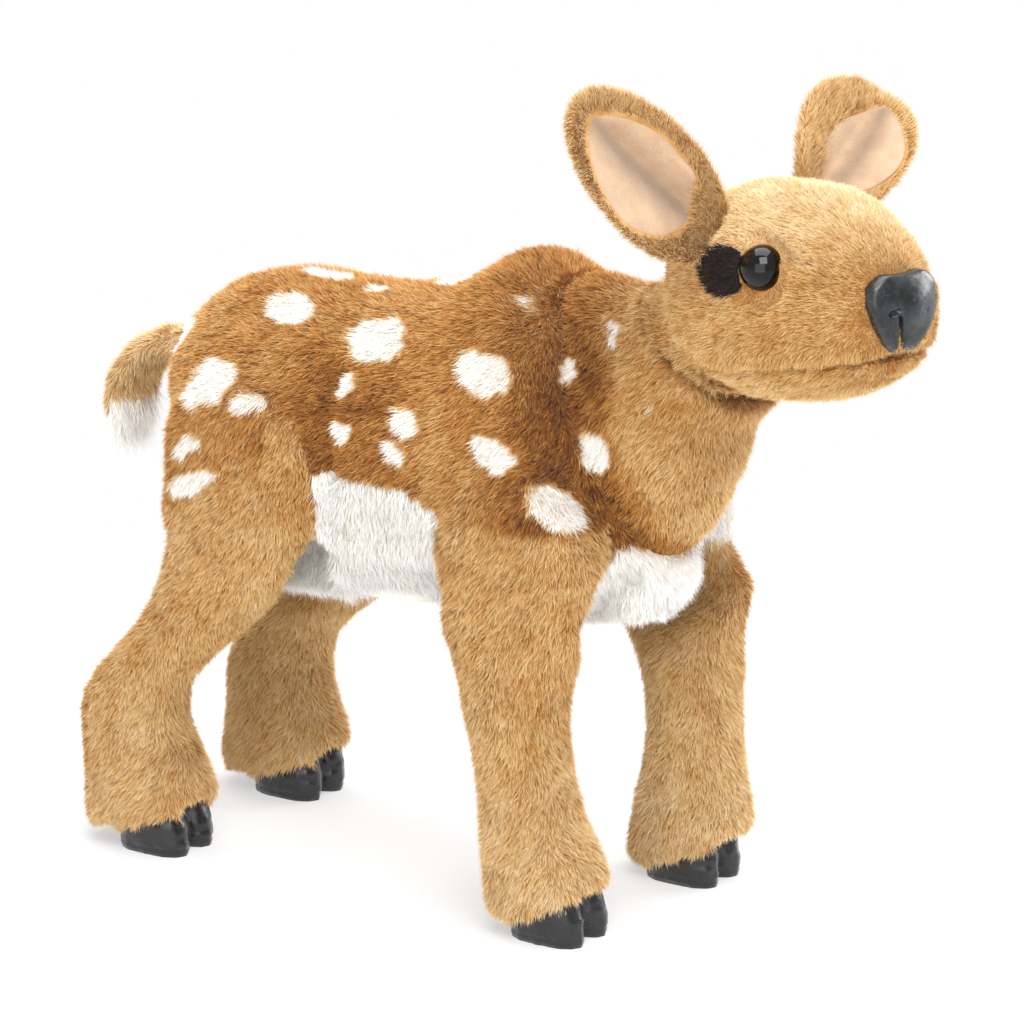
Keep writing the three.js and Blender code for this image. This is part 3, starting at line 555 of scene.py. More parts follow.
class FusedForm:
    """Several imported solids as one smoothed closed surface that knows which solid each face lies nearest."""

    def __init__(self, nodes: Sequence[str], voxel: float, rounds: int, filling: Sequence[str] = ()) -> None:
        """Fuses the solids.

        Args:
            nodes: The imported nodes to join, to which the faces can belong.
            voxel: The remesh's cell size.
            rounds: How many times the surface is smoothed.
            filling: Nodes that only fill the form.
        """
        self.nodes = list(nodes)
        joined = bmesh.new()
        for node in (*self.nodes, *filling):
            joined.from_mesh(frame["nodes"][node].data)
        bmesh.ops.remove_doubles(joined, verts=joined.verts, dist=1e-6)
        mesh = bpy.data.meshes.new("fused")
        joined.to_mesh(mesh)
        joined.free()
        piece = bpy.data.objects.new("fused", mesh)
        bpy.context.scene.collection.objects.link(piece)
        remesh = piece.modifiers.new("remesh", "REMESH")
        remesh.mode = "VOXEL"
        remesh.voxel_size = voxel
        soften = piece.modifiers.new("soften", "SMOOTH")
        soften.factor = 0.5
        soften.iterations = rounds
        self.mesh = settled(piece)
        self.faces = [tuple(face.vertices) for face in self.mesh.polygons]
        self.owner = self._owners()

    def _owners(self) -> np.ndarray:
        """For each face, the number of the solid whose surface is nearest."""
        centres = [face.center.copy() for face in self.mesh.polygons]
        away = []
        for node in self.nodes:
            source = frame["nodes"][node].data
            tree = tree_of(source)
            away.append([tree.find_nearest(centre)[3] for centre in centres])
        return np.argmin(np.array(away), axis=0)

    def _passing(self, test: Field) -> np.ndarray:
        """Which faces pass a test on their centres and normals."""
        faces = self.mesh.polygons
        return test(np.array([p.center for p in faces]), np.array([p.normal for p in faces]))

    def drop(self, test: Field) -> None:
        """Leaves out the faces that pass a test."""
        self.owner[self._passing(test)] = -1

    def split(self, test: Field) -> None:
        """Gives the faces that pass a test to the first of two solids, and all others to the second."""
        self.owner = np.where(self._passing(test), 0, np.where(self.owner == 0, 1, self.owner))

    def draw(self, move: Field) -> None:
        """Moves every vertex by a vector that a field says."""
        points, normals = points_in(self.mesh), normals_in(self.mesh)
        move_to(self.mesh, points + move(points, normals))

    def tree(self) -> BVHTree:
        """The surface for finding nearest places."""
        return BVHTree.FromPolygons([v.co for v in self.mesh.vertices], self.faces)

    def shape(self, change: Field) -> None:
        """Moves every vertex along its normal by what a field says."""
        points, normals = points_in(self.mesh), normals_in(self.mesh)
        move_to(self.mesh, points + normals * change(points, normals)[:, None])

    def part(self, name: str) -> "Skin":
        """The surface whose faces belong to one of the solids, with the whole form's normals."""
        wanted = self.owner == self.nodes.index(name)
        wanted &= self._largest(wanted)
        chosen = [self.faces[k] for k in np.flatnonzero(wanted)]
        used = np.unique(np.concatenate([np.array(face) for face in chosen]))
        place = {int(old): new for new, old in enumerate(used)}
        points, normals = points_in(self.mesh)[used], normals_in(self.mesh)[used]
        return Skin(points, normals, [[place[v] for v in face] for face in chosen])

    def _largest(self, wanted: np.ndarray) -> np.ndarray:
        """The chosen faces that hang together in the largest patch."""
        count = len(self.mesh.vertices)
        pairs = np.concatenate(
            [np.stack([np.roll(f, 1), f], 1) for f in (np.array(self.faces[k]) for k in np.flatnonzero(wanted))]
        )
        label = np.arange(count)
        while True:
            low = np.minimum(label[pairs[:, 0]], label[pairs[:, 1]])
            fresh = label.copy()
            np.minimum.at(fresh, pairs[:, 0], low)
            np.minimum.at(fresh, pairs[:, 1], low)
            fresh = fresh[fresh]
            if (fresh == label).all():
                break
            label = fresh
        first = np.array([face[0] for face in self.faces])
        votes = np.bincount(label[first[wanted]], minlength=count)
        return label[first] == votes.argmax()


@dataclass
class Skin:
    """An open or closed surface with the normals that its pile stands on."""

    points: Points
    normals: Points
    faces: list

    def mesh(self, name: str) -> bpy.types.Mesh:
        """The surface as a mesh."""
        made = bpy.data.meshes.new(name)
        made.from_pydata(self.points.tolist(), [], self.faces)
        made.update()
        return made


def closed_mesh(name: str, points: Points, faces: list) -> bpy.types.Mesh:
    """A closed mesh with its doubles merged and its normals outward."""
    made = bpy.data.meshes.new(name)
    made.from_pydata(points.tolist(), [], faces)
    shell = bmesh.new()
    shell.from_mesh(made)
    bmesh.ops.remove_doubles(shell, verts=shell.verts, dist=1e-5)
    bmesh.ops.recalc_face_normals(shell, faces=shell.faces)
    shell.to_mesh(made)
    shell.free()
    made.update()
    return made


# Pile


class StrandPlanter:
    """The Geometry Nodes tree that plants leaning strands on a skin."""

    CORNERS = 3
    TUFT = 3.4 * MM
    VARIANTS = ((0.9, 0.05), (-0.8, 0.22), (0.3, 0.35), (-0.3, -0.12))

    def __init__(self) -> None:
        """Builds the strands' variants and the tree."""
        self.blades = bpy.data.collections.new("blades")
        for number, (sway, bend) in enumerate(self.VARIANTS):
            self.blades.objects.link(self._blade(number, sway, bend))
        self.tree = bpy.data.node_groups.new("plant_strands", "GeometryNodeTree")
        self.inputs: dict[str, str] = {}
        self._build()

    @staticmethod
    def _blade(number: int, sway: float, bend: float) -> bpy.types.Object:
        """One strand of length and width 1, as a single tapering triangle.

        Args:
            number: Its number among the variants.
            sway: How far its tip leans sideways, in widths.
            bend: How far its tip leans over, in lengths.

        Returns:
            The strand's object, not linked to the scene.
        """
        mesh = bpy.data.meshes.new(f"blade_{number}")
        mesh.from_pydata([(-0.5, 0, 0), (0.5, 0, 0), (sway, bend, 1)], [], [(0, 1, 2)])
        set_attribute(mesh, "along", "FLOAT", np.array([0, 0, 1]))
        set_attribute(mesh, "edge", "FLOAT", np.array([-1, 1, 0]))
        return bpy.data.objects.new(f"blade_{number}", mesh)

    def _socket(self, name: str, kind: str) -> None:
        """Adds a named input to the tree."""
        made = self.tree.interface.new_socket(name=name, in_out="INPUT", socket_type=kind)
        self.inputs[name] = made.identifier

    def _node(self, kind: str, settings: dict, values: dict) -> bpy.types.Node:
        """Adds a node with its settings, then its inputs' values or links."""
        made = self.tree.nodes.new(kind)
        for key, value in settings.items():
            setattr(made, key, value)
        for key, value in values.items():
            if isinstance(value, bpy.types.NodeSocket):
                self.tree.links.new(value, made.inputs[key])
            else:
                made.inputs[key].default_value = value
        return made

    def _attribute(self, name: str, kind: str) -> bpy.types.NodeSocket:
        """A named attribute of the skin."""
        return self._node("GeometryNodeInputNamedAttribute", {"data_type": kind}, {"Name": name}).outputs[0]

    def _vector(self, operation: str, **values: object) -> bpy.types.NodeSocket:
        """A Vector Math node, its inputs given as a, b and scale."""
        keys = {"a": 0, "b": 1, "scale": "Scale"}
        named = {keys[key]: value for key, value in values.items()}
        return self._node("ShaderNodeVectorMath", {"operation": operation}, named).outputs[0]

    def _times(self, first: object, second: object) -> bpy.types.NodeSocket:
        """The product of two numbers."""
        return self._node("ShaderNodeMath", {"operation": "MULTIPLY"}, {0: first, 1: second}).outputs[0]

    def _random(self, kind: str, low: object, high: object, seed: int) -> bpy.types.NodeSocket:
        """A random value for each point."""
        made = self._node("FunctionNodeRandomValue", {"data_type": kind}, {})
        fitting = [s for s in made.inputs if s.enabled]
        fitting[0].default_value, fitting[1].default_value = low, high
        next(s for s in fitting if s.name == "Seed").default_value = seed
        return next(s for s in made.outputs if s.enabled)

    def _build(self) -> None:
        """Lays out the tree."""
        for name, kind in (
            ("Skin", "NodeSocketGeometry"),
            ("Strands per square metre", "NodeSocketFloat"),
            ("Length", "NodeSocketFloat"),
            ("Width", "NodeSocketFloat"),
            ("Rise", "NodeSocketFloat"),
            ("Lean", "NodeSocketFloat"),
            ("Unruliness", "NodeSocketFloat"),
            ("Blades", "NodeSocketCollection"),
            ("Finish", "NodeSocketMaterial"),
            ("Seed", "NodeSocketInt"),
        ):
            self._socket(name, kind)
        self.tree.interface.new_socket(name="Pile", in_out="OUTPUT", socket_type="NodeSocketGeometry")
        given = self.tree.nodes.new("NodeGroupInput").outputs
        cover = self._times(given["Strands per square metre"], self._attribute("cover", "FLOAT"))
        dots = self._node(
            "GeometryNodeDistributePointsOnFaces",
            {"distribute_method": "RANDOM"},
            {"Mesh": given["Skin"], "Density": cover, "Seed": given["Seed"]},
        )
        comb = self._attribute("comb", "FLOAT_VECTOR")
        up = self._attribute("up", "FLOAT_VECTOR")
        here = self._node("GeometryNodeInputPosition", {}, {}).outputs[0]
        swirl = self._node(
            "ShaderNodeTexNoise", {}, {"Vector": here, "Scale": 1 / self.TUFT, "Detail": 1.0}
        ).outputs["Color"]
        tuft = self._vector("SCALE", a=self._vector("SUBTRACT", a=swirl, b=(0.5, 0.5, 0.5)), scale=1.5)
        stray = self._random("FLOAT_VECTOR", (-1, -1, -1), (1, 1, 1), 11)
        twist = self._random("FLOAT_VECTOR", (-1, -1, -1), (1, 1, 1), 23)
        rise = self._vector("SCALE", a=up, scale=given["Rise"])
        lean = self._vector("SCALE", a=comb, scale=given["Lean"])
        loose = self._vector("SCALE", a=stray, scale=given["Unruliness"])
        stand = self._vector("ADD", a=self._vector("ADD", a=rise, b=lean), b=loose)
        out = self._vector("ADD", a=stand, b=tuft)
        turned = self._vector("ADD", a=comb, b=self._vector("SCALE", a=twist, scale=0.55))
        aim = self._node(
            "FunctionNodeAxesToRotation",
            {"primary_axis": "Z", "secondary_axis": "Y"},
            {"Primary Axis": out, "Secondary Axis": turned},
        )
        pile = self._attribute("pile", "FLOAT")
        tall = self._times(self._times(given["Length"], pile), self._random("FLOAT", 0.68, 1.18, 37))
        size = self._node("ShaderNodeCombineXYZ", {}, {0: given["Width"], 1: tall, 2: tall})
        blades = self._node(
            "GeometryNodeCollectionInfo",
            {},
            {"Collection": given["Blades"], "Separate Children": True, "Reset Children": True},
        )
        planted = self._node(
            "GeometryNodeInstanceOnPoints",
            {},
            {
                "Points": dots.outputs["Points"],
                "Instance": blades.outputs[0],
                "Pick Instance": True,
                "Instance Index": self._random("INT", 0, len(self.VARIANTS) - 1, 51),
                "Rotation": aim.outputs[0],
                "Scale": size.outputs[0],
            },
        )
        root = self._node(
            "GeometryNodeStoreNamedAttribute",
            {"data_type": "FLOAT_VECTOR", "domain": "INSTANCE"},
            {
                "Geometry": planted.outputs[0],
                "Name": "root",
                "Value": self._node("GeometryNodeInputPosition", {}, {}).outputs[0],
            },
        )
        dice = self._node(
            "GeometryNodeStoreNamedAttribute",
            {"data_type": "FLOAT", "domain": "INSTANCE"},
            {"Geometry": root.outputs[0], "Name": "dice", "Value": self._random("FLOAT", 0.0, 1.0, 77)},
        )
        real = self._node("GeometryNodeRealizeInstances", {}, {"Geometry": dice.outputs[0]})
        dressed = self._node(
            "GeometryNodeSetMaterial", {}, {"Geometry": real.outputs[0], "Material": given["Finish"]}
        )
        end = self.tree.nodes.new("NodeGroupOutput")
        self.tree.links.new(dressed.outputs[0], end.inputs[0])

    def plant(self, name: str, skin: bpy.types.Mesh, values: dict) -> bpy.types.Mesh:
        """Plants the strands.

        Args:
            name: The piece's name.
            skin: A mesh with the attributes up, comb, pile and cover.
            values: The tree's inputs by name.

        Returns:
            The strands as one mesh, with the attributes along, edge, root and dice.
        """
        piece = bpy.data.objects.new(name, skin.copy())
        bpy.context.scene.collection.objects.link(piece)
        grow = piece.modifiers.new("pile", "NODES")
        grow.node_group = self.tree
        for key, value in values.items():
            grow[self.inputs[key]] = value
        return settled(piece)


@dataclass
class Coat:
    """How the pile lies and is coloured on one region: dyed, and on some regions with painted light and shade."""

    name: str
    comb: Field
    dye: Callable[[Points], Points]
    length: float = 4.0 * MM
    width: float = 0.44 * MM
    lean: float = 0.85
    rise: float = 0.62
    unruly: float = 0.34
    density: float = 4.2e6
    streak: float = 0.06
    pile: Optional[Field] = None
    cover: Optional[Field] = None
    wall: float = 1.5 * MM
    seed: int = 1


@dataclass
class Workshop:
    """What every sub-assembly uses: the planter, the finishes and one way to dress a skin."""

    planter: StrandPlanter = field(default_factory=StrandPlanter)
    pile: bpy.types.Material = field(default_factory=lambda: PileFinish().material())
    strands: int = 0
    wander: float = 0.45
    wander_swell: float = 13 * MM
    uneven: float = 0.16
    uneven_swell: float = 10 * MM
    WHITE_FROM, BLACK_TO, PLAIN_STREAK = 0.93, 0.15, 0.3
    PALE_ABOVE, PALE_LIFT = 0.9, 0.11
    DARK_BELOW, DARK_DROP = 0.14, 0.12

    def dress(self, skin: Skin, coat: Coat) -> tuple[bpy.types.Object, bpy.types.Object]:
        """Makes a skin piece and the pile piece on it.

        Args:
            skin: The surface.
            coat: How its pile lies and is dyed.

        Returns:
            The backing and the pile.
        """
        points, normals = skin.points, skin.normals
        comb = coat.comb(points, normals) + self.wander * drift(points, self.wander_swell, coat.seed)
        comb = unit(comb - normals * (comb * normals).sum(1, keepdims=True))
        length = coat.pile(points, normals) if coat.pile else np.ones(len(points))
        length = length * (1 + self.uneven * cloud(points, self.uneven_swell, coat.seed + 5))
        cover = coat.cover(points, normals) if coat.cover else np.ones(len(points))
        ground = skin.mesh(coat.name)
        for name, kind, values in (
            ("up", "FLOAT_VECTOR", normals),
            ("comb", "FLOAT_VECTOR", comb),
            ("pile", "FLOAT", length),
            ("cover", "FLOAT", cover),
        ):
            set_attribute(ground, name, kind, values)
        sizes = {
            "Strands per square metre": coat.density * STRAND_SHARE,
            "Length": coat.length,
            "Width": coat.width,
            "Rise": coat.rise,
            "Lean": coat.lean,
            "Unruliness": coat.unruly,
            "Blades": self.planter.blades,
            "Finish": self.pile,
            "Seed": coat.seed,
        }
        grown = self.planter.plant(coat.name + "_pile", ground, sizes)
        self._paint(grown, coat)
        bpy.data.meshes.remove(ground)
        return self._backing(skin, coat), show(coat.name + "_pile", grown, self.pile)

    def _paint(self, mesh: bpy.types.Mesh, coat: Coat) -> None:
        """Lays each strand at its tone on the bake map, and drops the attributes that said where it stands."""
        read = {}
        for name, width in (("root", 3), ("dice", 1), ("along", 1), ("edge", 1)):
            flat = np.empty(len(mesh.vertices) * width, np.float32)
            attribute = mesh.attributes[name]
            attribute.data.foreach_get("vector" if width == 3 else "value", flat)
            read[name] = flat.reshape(-1, width).astype(float)
        for name in read:
            mesh.attributes.remove(mesh.attributes[name])
        step = StrandPlanter.CORNERS
        roots, dice = read["root"][::step], read["dice"][::step, 0]
        dye = coat.dye(roots)
        tufts = cloud(roots, 1.8 * MM, 61) + 0.5 * cloud(roots, 5 * MM, 67)
        streak = coat.streak * (1.6 * (dice - 0.5) + tufts)
        streak += self.PALE_LIFT * (dice > self.PALE_ABOVE) - self.DARK_DROP * (dice < self.DARK_BELOW)
        plain = (dye > self.WHITE_FROM) | (dye < self.BLACK_TO)
        dye = np.clip(dye + streak * np.where(plain, self.PLAIN_STREAK, 1), 0.004, 0.996)
        dye = np.repeat(dye, step) + 0.003 * read["edge"][:, 0]
        set_map(mesh, dye, 0.02 + 0.96 * read["along"][:, 0])
        count = len(roots)
        self.strands += count
        log.info("%s: %d strands", coat.name, count)

    def _backing(self, skin: Skin, coat: Coat) -> bpy.types.Object:
        """The cloth that the pile stands on, with a wall of its own, in the pile's colour under painted root shade.
        """
        mesh = skin.mesh(coat.name)
        rng = np.random.default_rng(coat.seed)
        dye = np.clip(coat.dye(skin.points), 0.004, 0.996)
        # Painted shade: the backing gets the darkened colour from low on the strands, as if in the shade between
        # them.
        set_map(mesh, dye, 0.06 + 0.22 * rng.random(len(dye)))
        piece = show(coat.name, mesh, self.pile)
        wall = piece.modifiers.new("wall", "SOLIDIFY")
        wall.thickness = coat.wall
        wall.offset = -1
        return show(coat.name, settled(piece), self.pile)


STRAND_SHARE = 1.0


# Pile tones: places on the pile's scale from black, 0, to white, 1, from dyed colour and, in places, painted light
# and shade


@dataclass(frozen=True)
class Spot:
    """A white spot of the spotted cloth: where it lies and how large it is, in millimetres, with the slant
    of its long side from level, in degrees, rising towards the tail."""

    x: float
    y: float
    z: float
    long: float
    short: float
    slant: float = 0.0

    def mirrored(self, number: int) -> "Spot":
        """The like of it on the other side, a little elsewhere."""
        shift = math.sin(number * 2.4) * 6
        grow = 1 + 0.22 * math.sin(number * 1.7 + 1)
        return Spot(-self.x, self.y + shift, self.z, self.long * grow, self.short * grow, self.slant)


NEAR_SPOTS = (
    Spot(-29, 83, 231, 14.0, 8.0, 19),
    Spot(-36, 35, 227.5, 18.0, 10.5, 11),
    Spot(-54, 109, 206, 16.0, 12.5, 3),
    Spot(-25, 146, 213, 14.0, 9.5, -23),
    Spot(-59, 83, 201, 10.0, 4.8, -17),
    Spot(-48, 45, 211, 5.2, 5.6, 17),
    Spot(-55, 11, 202, 8.0, 6.0, 17),
    Spot(-54, 44, 193, 6.5, 5.0, -3),
    Spot(-56, 16, 189, 6.0, 4.2, 25),
    Spot(-65, 112, 180, 9.0, 4.2, -31),
    Spot(-66, 106, 165, 16.5, 7.0, -13),
    Spot(-50, -23, 225, 13.0, 8.6, 17),
    Spot(-31, -36, 253, 14.0, 9.5, 13),
    Spot(-34, -51, 226, 5.0, 5.0, -43),
    Spot(-56, -32, 195, 12.0, 6.0, 22),
    Spot(-39, -66, 197, 9.5, 7.0, 57),
    Spot(-54, -66, 178, 21.0, 10.0, 8),
    Spot(-22, -66, 240, 9.5, 3.4, 80),
    Spot(-15, -80, 257, 8.0, 3.4, 84),
    Spot(-34, -88, 215, 5.0, 2.6, 77),
)
RIDGE_SPOTS = (
    Spot(-10, 121, 244, 9.0, 6.0),
    Spot(-1, 84, 244, 15.0, 7.5),
    Spot(-8, 58, 243, 7.0, 5.5),
    Spot(-2, 22, 247, 10.0, 6.5),
    Spot(0, -55, 262, 9.0, 6.0),
)
THIGH_OUTLINE = (
    (44, 110), (45, 177), (51, 212), (66, 222), (82, 217), (74, 186), (90, 173), (124, 151), (170, 120),
    (170, -5), (0, -5), (0, 100),
)


@dataclass(frozen=True)
class Rim:
    """The slanted plane where the trunk's cloth ends round the neck: its places at the nape and the chest, as
    y and z in millimetres."""

    nape: tuple[float, float] = (-36.1, 258.0)
    chest: tuple[float, float] = (-86.1, 146.0)

    def past(self, points: Points) -> Points:
        """How far each point lies ahead of the plane, in millimetres."""
        run = np.array(self.nape) - np.array(self.chest)
        out = np.array([-run[1], run[0]]) / np.linalg.norm(run)
        return (points[:, 1:] / MM - np.array(self.nape)) @ out


RIM = Rim()


@dataclass(frozen=True)
class Stance:
    """How far each foot's leg is drawn towards the tail, by height, in millimetres."""

    heights: tuple = (0, 30, 60, 90, 115, 140, 165)
    fore_right: tuple = (-1.0, 0.5, 2.5, 3.0, 1.5, 0.5, 0.0)
    fore_left: tuple = (4.0, 3.5, -2.0, -5.5, -2.5, 2.0, 0.0)
    hind_right: tuple = (0.0, 1.8, 3.5, 2.0, 1.5, -2.0, -3.0)
    hind_left: tuple = (-2.0, -3.0, -4.5, -9.0, -15.0, -10.0, 0.0)

    def move(self, points: Points, normals: Points) -> Points:
        """The stance as a vector for each point."""
        x, y, z = sides_of(points)
        right, fore = x < 0, y < 36
        shift = np.zeros(len(x))
        for run, here in (
            (self.fore_right, right & fore),
            (self.fore_left, ~right & fore),
            (self.hind_right, right & ~fore),
            (self.hind_left, ~right & ~fore),
        ):
            shift = np.where(here, np.interp(z, self.heights, run), shift)
        outward = smooth(np.abs(x), 14, 26) * smooth(np.abs(y - 36), 6, 16)
        return rows_of(0.0, shift * outward, 0.0) * MM


STANCE = Stance()


class Dyes:
    """The dyed tones of the cloths, with painted light on the head's crown and on the tail, and painted shade on
    the neck under the head.
    """

    spots = (*NEAR_SPOTS, *RIDGE_SPOTS, *(spot.mirrored(k) for k, spot in enumerate(NEAR_SPOTS)))

    @classmethod
    def spotted(cls, points: Points) -> Points:
        """The saddle's mottled brown with its white spots."""
        tone = 0.45 + 0.04 * cloud(points, 26 * MM, 3) + 0.04 * cloud(points, 9 * MM, 4)
        x, y, z = sides_of(points)
        flank = smooth(z, 230, 200) * smooth(np.abs(y - 36), 44, 16)
        neckward = smooth(z, 254, 226) * smooth(y, -30, -52)
        dark = np.maximum(flank, 1.4 * neckward)
        golden = np.exp(-(((y + 10) / 17) ** 2)) * smooth(z, 246, 216)
        tone = tone - 0.09 * dark + 0.035 * golden + 0.02 * smooth(y, 60, 130)
        tone = tone - 0.06 * dark * np.maximum(cloud(points, 3 * MM, 14), 0)
        ragged = points + 1.6 * MM * drift(points, 3.5 * MM, 31)
        white = np.zeros(len(points))
        for spot in cls.spots:
            white = np.maximum(white, cls._within(spot, ragged))
        return tone + (0.985 - tone) * white

    @staticmethod
    def _within(spot: Spot, points: Points) -> Points:
        """How white each place is for one spot."""
        away = points - np.array([spot.x, spot.y, spot.z]) * MM
        slant = math.radians(spot.slant)
        along = away @ np.array([0, math.cos(slant), math.sin(slant)])
        rest = np.maximum((away * away).sum(1) - along * along, 0)
        reach = np.sqrt((along / (spot.long * MM)) ** 2 + rest / (spot.short * MM) ** 2)
        return 1 - smooth(reach, 0.86, 1.08)

    @staticmethod
    def tan(points: Points) -> Points:
        """The legs' and neck's golden tan."""
        return 0.565 + 0.045 * cloud(points, 22 * MM, 8) + 0.05 * cloud(points, 7 * MM, 9)

    @classmethod
    def leg(cls, points: Points, station: Station) -> Points:
        """A leg's outside: spotted above the seam of its hip, tan below it."""
        x, y, z = sides_of(points + 2.2 * MM * drift(points, 5 * MM, 41))
        if station is Station.FRONT:
            seam = 168 + 5 * smooth(y, -30, -5)
            spotted = smooth(z, seam - 2, seam + 2)
        else:
            spotted = 1.0 - inside(THIGH_OUTLINE, y, z)
        tan = cls.tan(points)
        if station is Station.HIND:
            tan = tan - 0.07 * smooth(z, 150, 185)
        tan = tan + (0.10 if station is Station.FRONT else 0.05) * smooth(z, 110, 40)
        chest = smooth(y, -62, -67) * smooth(z, 140, 146) * smooth(z, 178, 172) * smooth(x, -34, -30)
        dye = tan + (cls.spotted(points) - tan) * spotted
        return dye + (0.985 - dye) * chest

    @classmethod
    def neck(cls, points: Points) -> Points:
        """The neck: the spotted cloth runs a little way up its sides and nape, and painted shade darkens the tan
        under the head.
        """
        bordered = RIM.past(points) + 4 * cloud(points, 12 * MM, 19) - 0.12 * (points[:, 2] / MM - 190)
        share = smooth(bordered, 2, 16)
        x, y, z = sides_of(points)
        # Painted shade: the tan is darkened under the head, where the head shades the neck.
        hollow = smooth(z, 185, 215) * smooth(y, -125, -100)
        tan = cls.tan(points) + 0.045 - 0.08 * hollow
        spots = cls.spotted(points)
        kept = np.maximum(1 - share, smooth(spots, 0.62, 0.9) * (1 - smooth(bordered, 40, 50)))
        return spots * kept + tan * (1 - kept)

    @staticmethod
    def head(points: Points) -> Points:
        """The head's lighter tan, with painted top light that makes it palest on the crown, and paler again low on
        the jaw.
        """
        x, y, z = sides_of(points)
        tone = 0.535 + 0.03 * cloud(points, 20 * MM, 8) + 0.03 * cloud(points, 6 * MM, 9)
        # Painted light: the crown is lightened as if lit from above.
        return tone + 0.20 * smooth(z, 272, 304) + 0.07 * smooth(z, 242, 226)

    @staticmethod
    def ear(points: Points) -> Points:
        """The ears' golden tan."""
        return 0.62 + 0.05 * cloud(points, 12 * MM, 8) + 0.04 * cloud(points, 4 * MM, 9)

    @classmethod
    def tail(cls, points: Points) -> Points:
        """The legs' tan lightened by painted light, since the tail stands in shade."""
        # Painted light: the tail's tan is lifted up the scale to make up for the shade it stands in.
        return cls.tan(points) + 0.10

    @staticmethod
    def white(points: Points) -> Points:
        """The white of belly, chest and tail."""
        return 0.985 + 0.008 * cloud(points, 15 * MM, 8)

    @staticmethod
    def dark(points: Points) -> Points:
        """The dark patch behind each eye."""
        return 0.03 + 0.02 * cloud(points, 4 * MM, 8)


# The lie of the pile


def lying(x: float, y: float, z: float) -> Field:
    """A field that points one way everywhere."""
    return lambda points, normals: np.tile(np.array([x, y, z], float), (len(points), 1))


def pointing_away(x: float, y: float, z: float, down: float = 0.0) -> Field:
    """A field that points away from a place, with some downward pull."""
    centre = np.array([x, y, z]) * MM
    return lambda points, normals: unit(points - centre) + np.array([0, 0, -down])


# Sub-assemblies


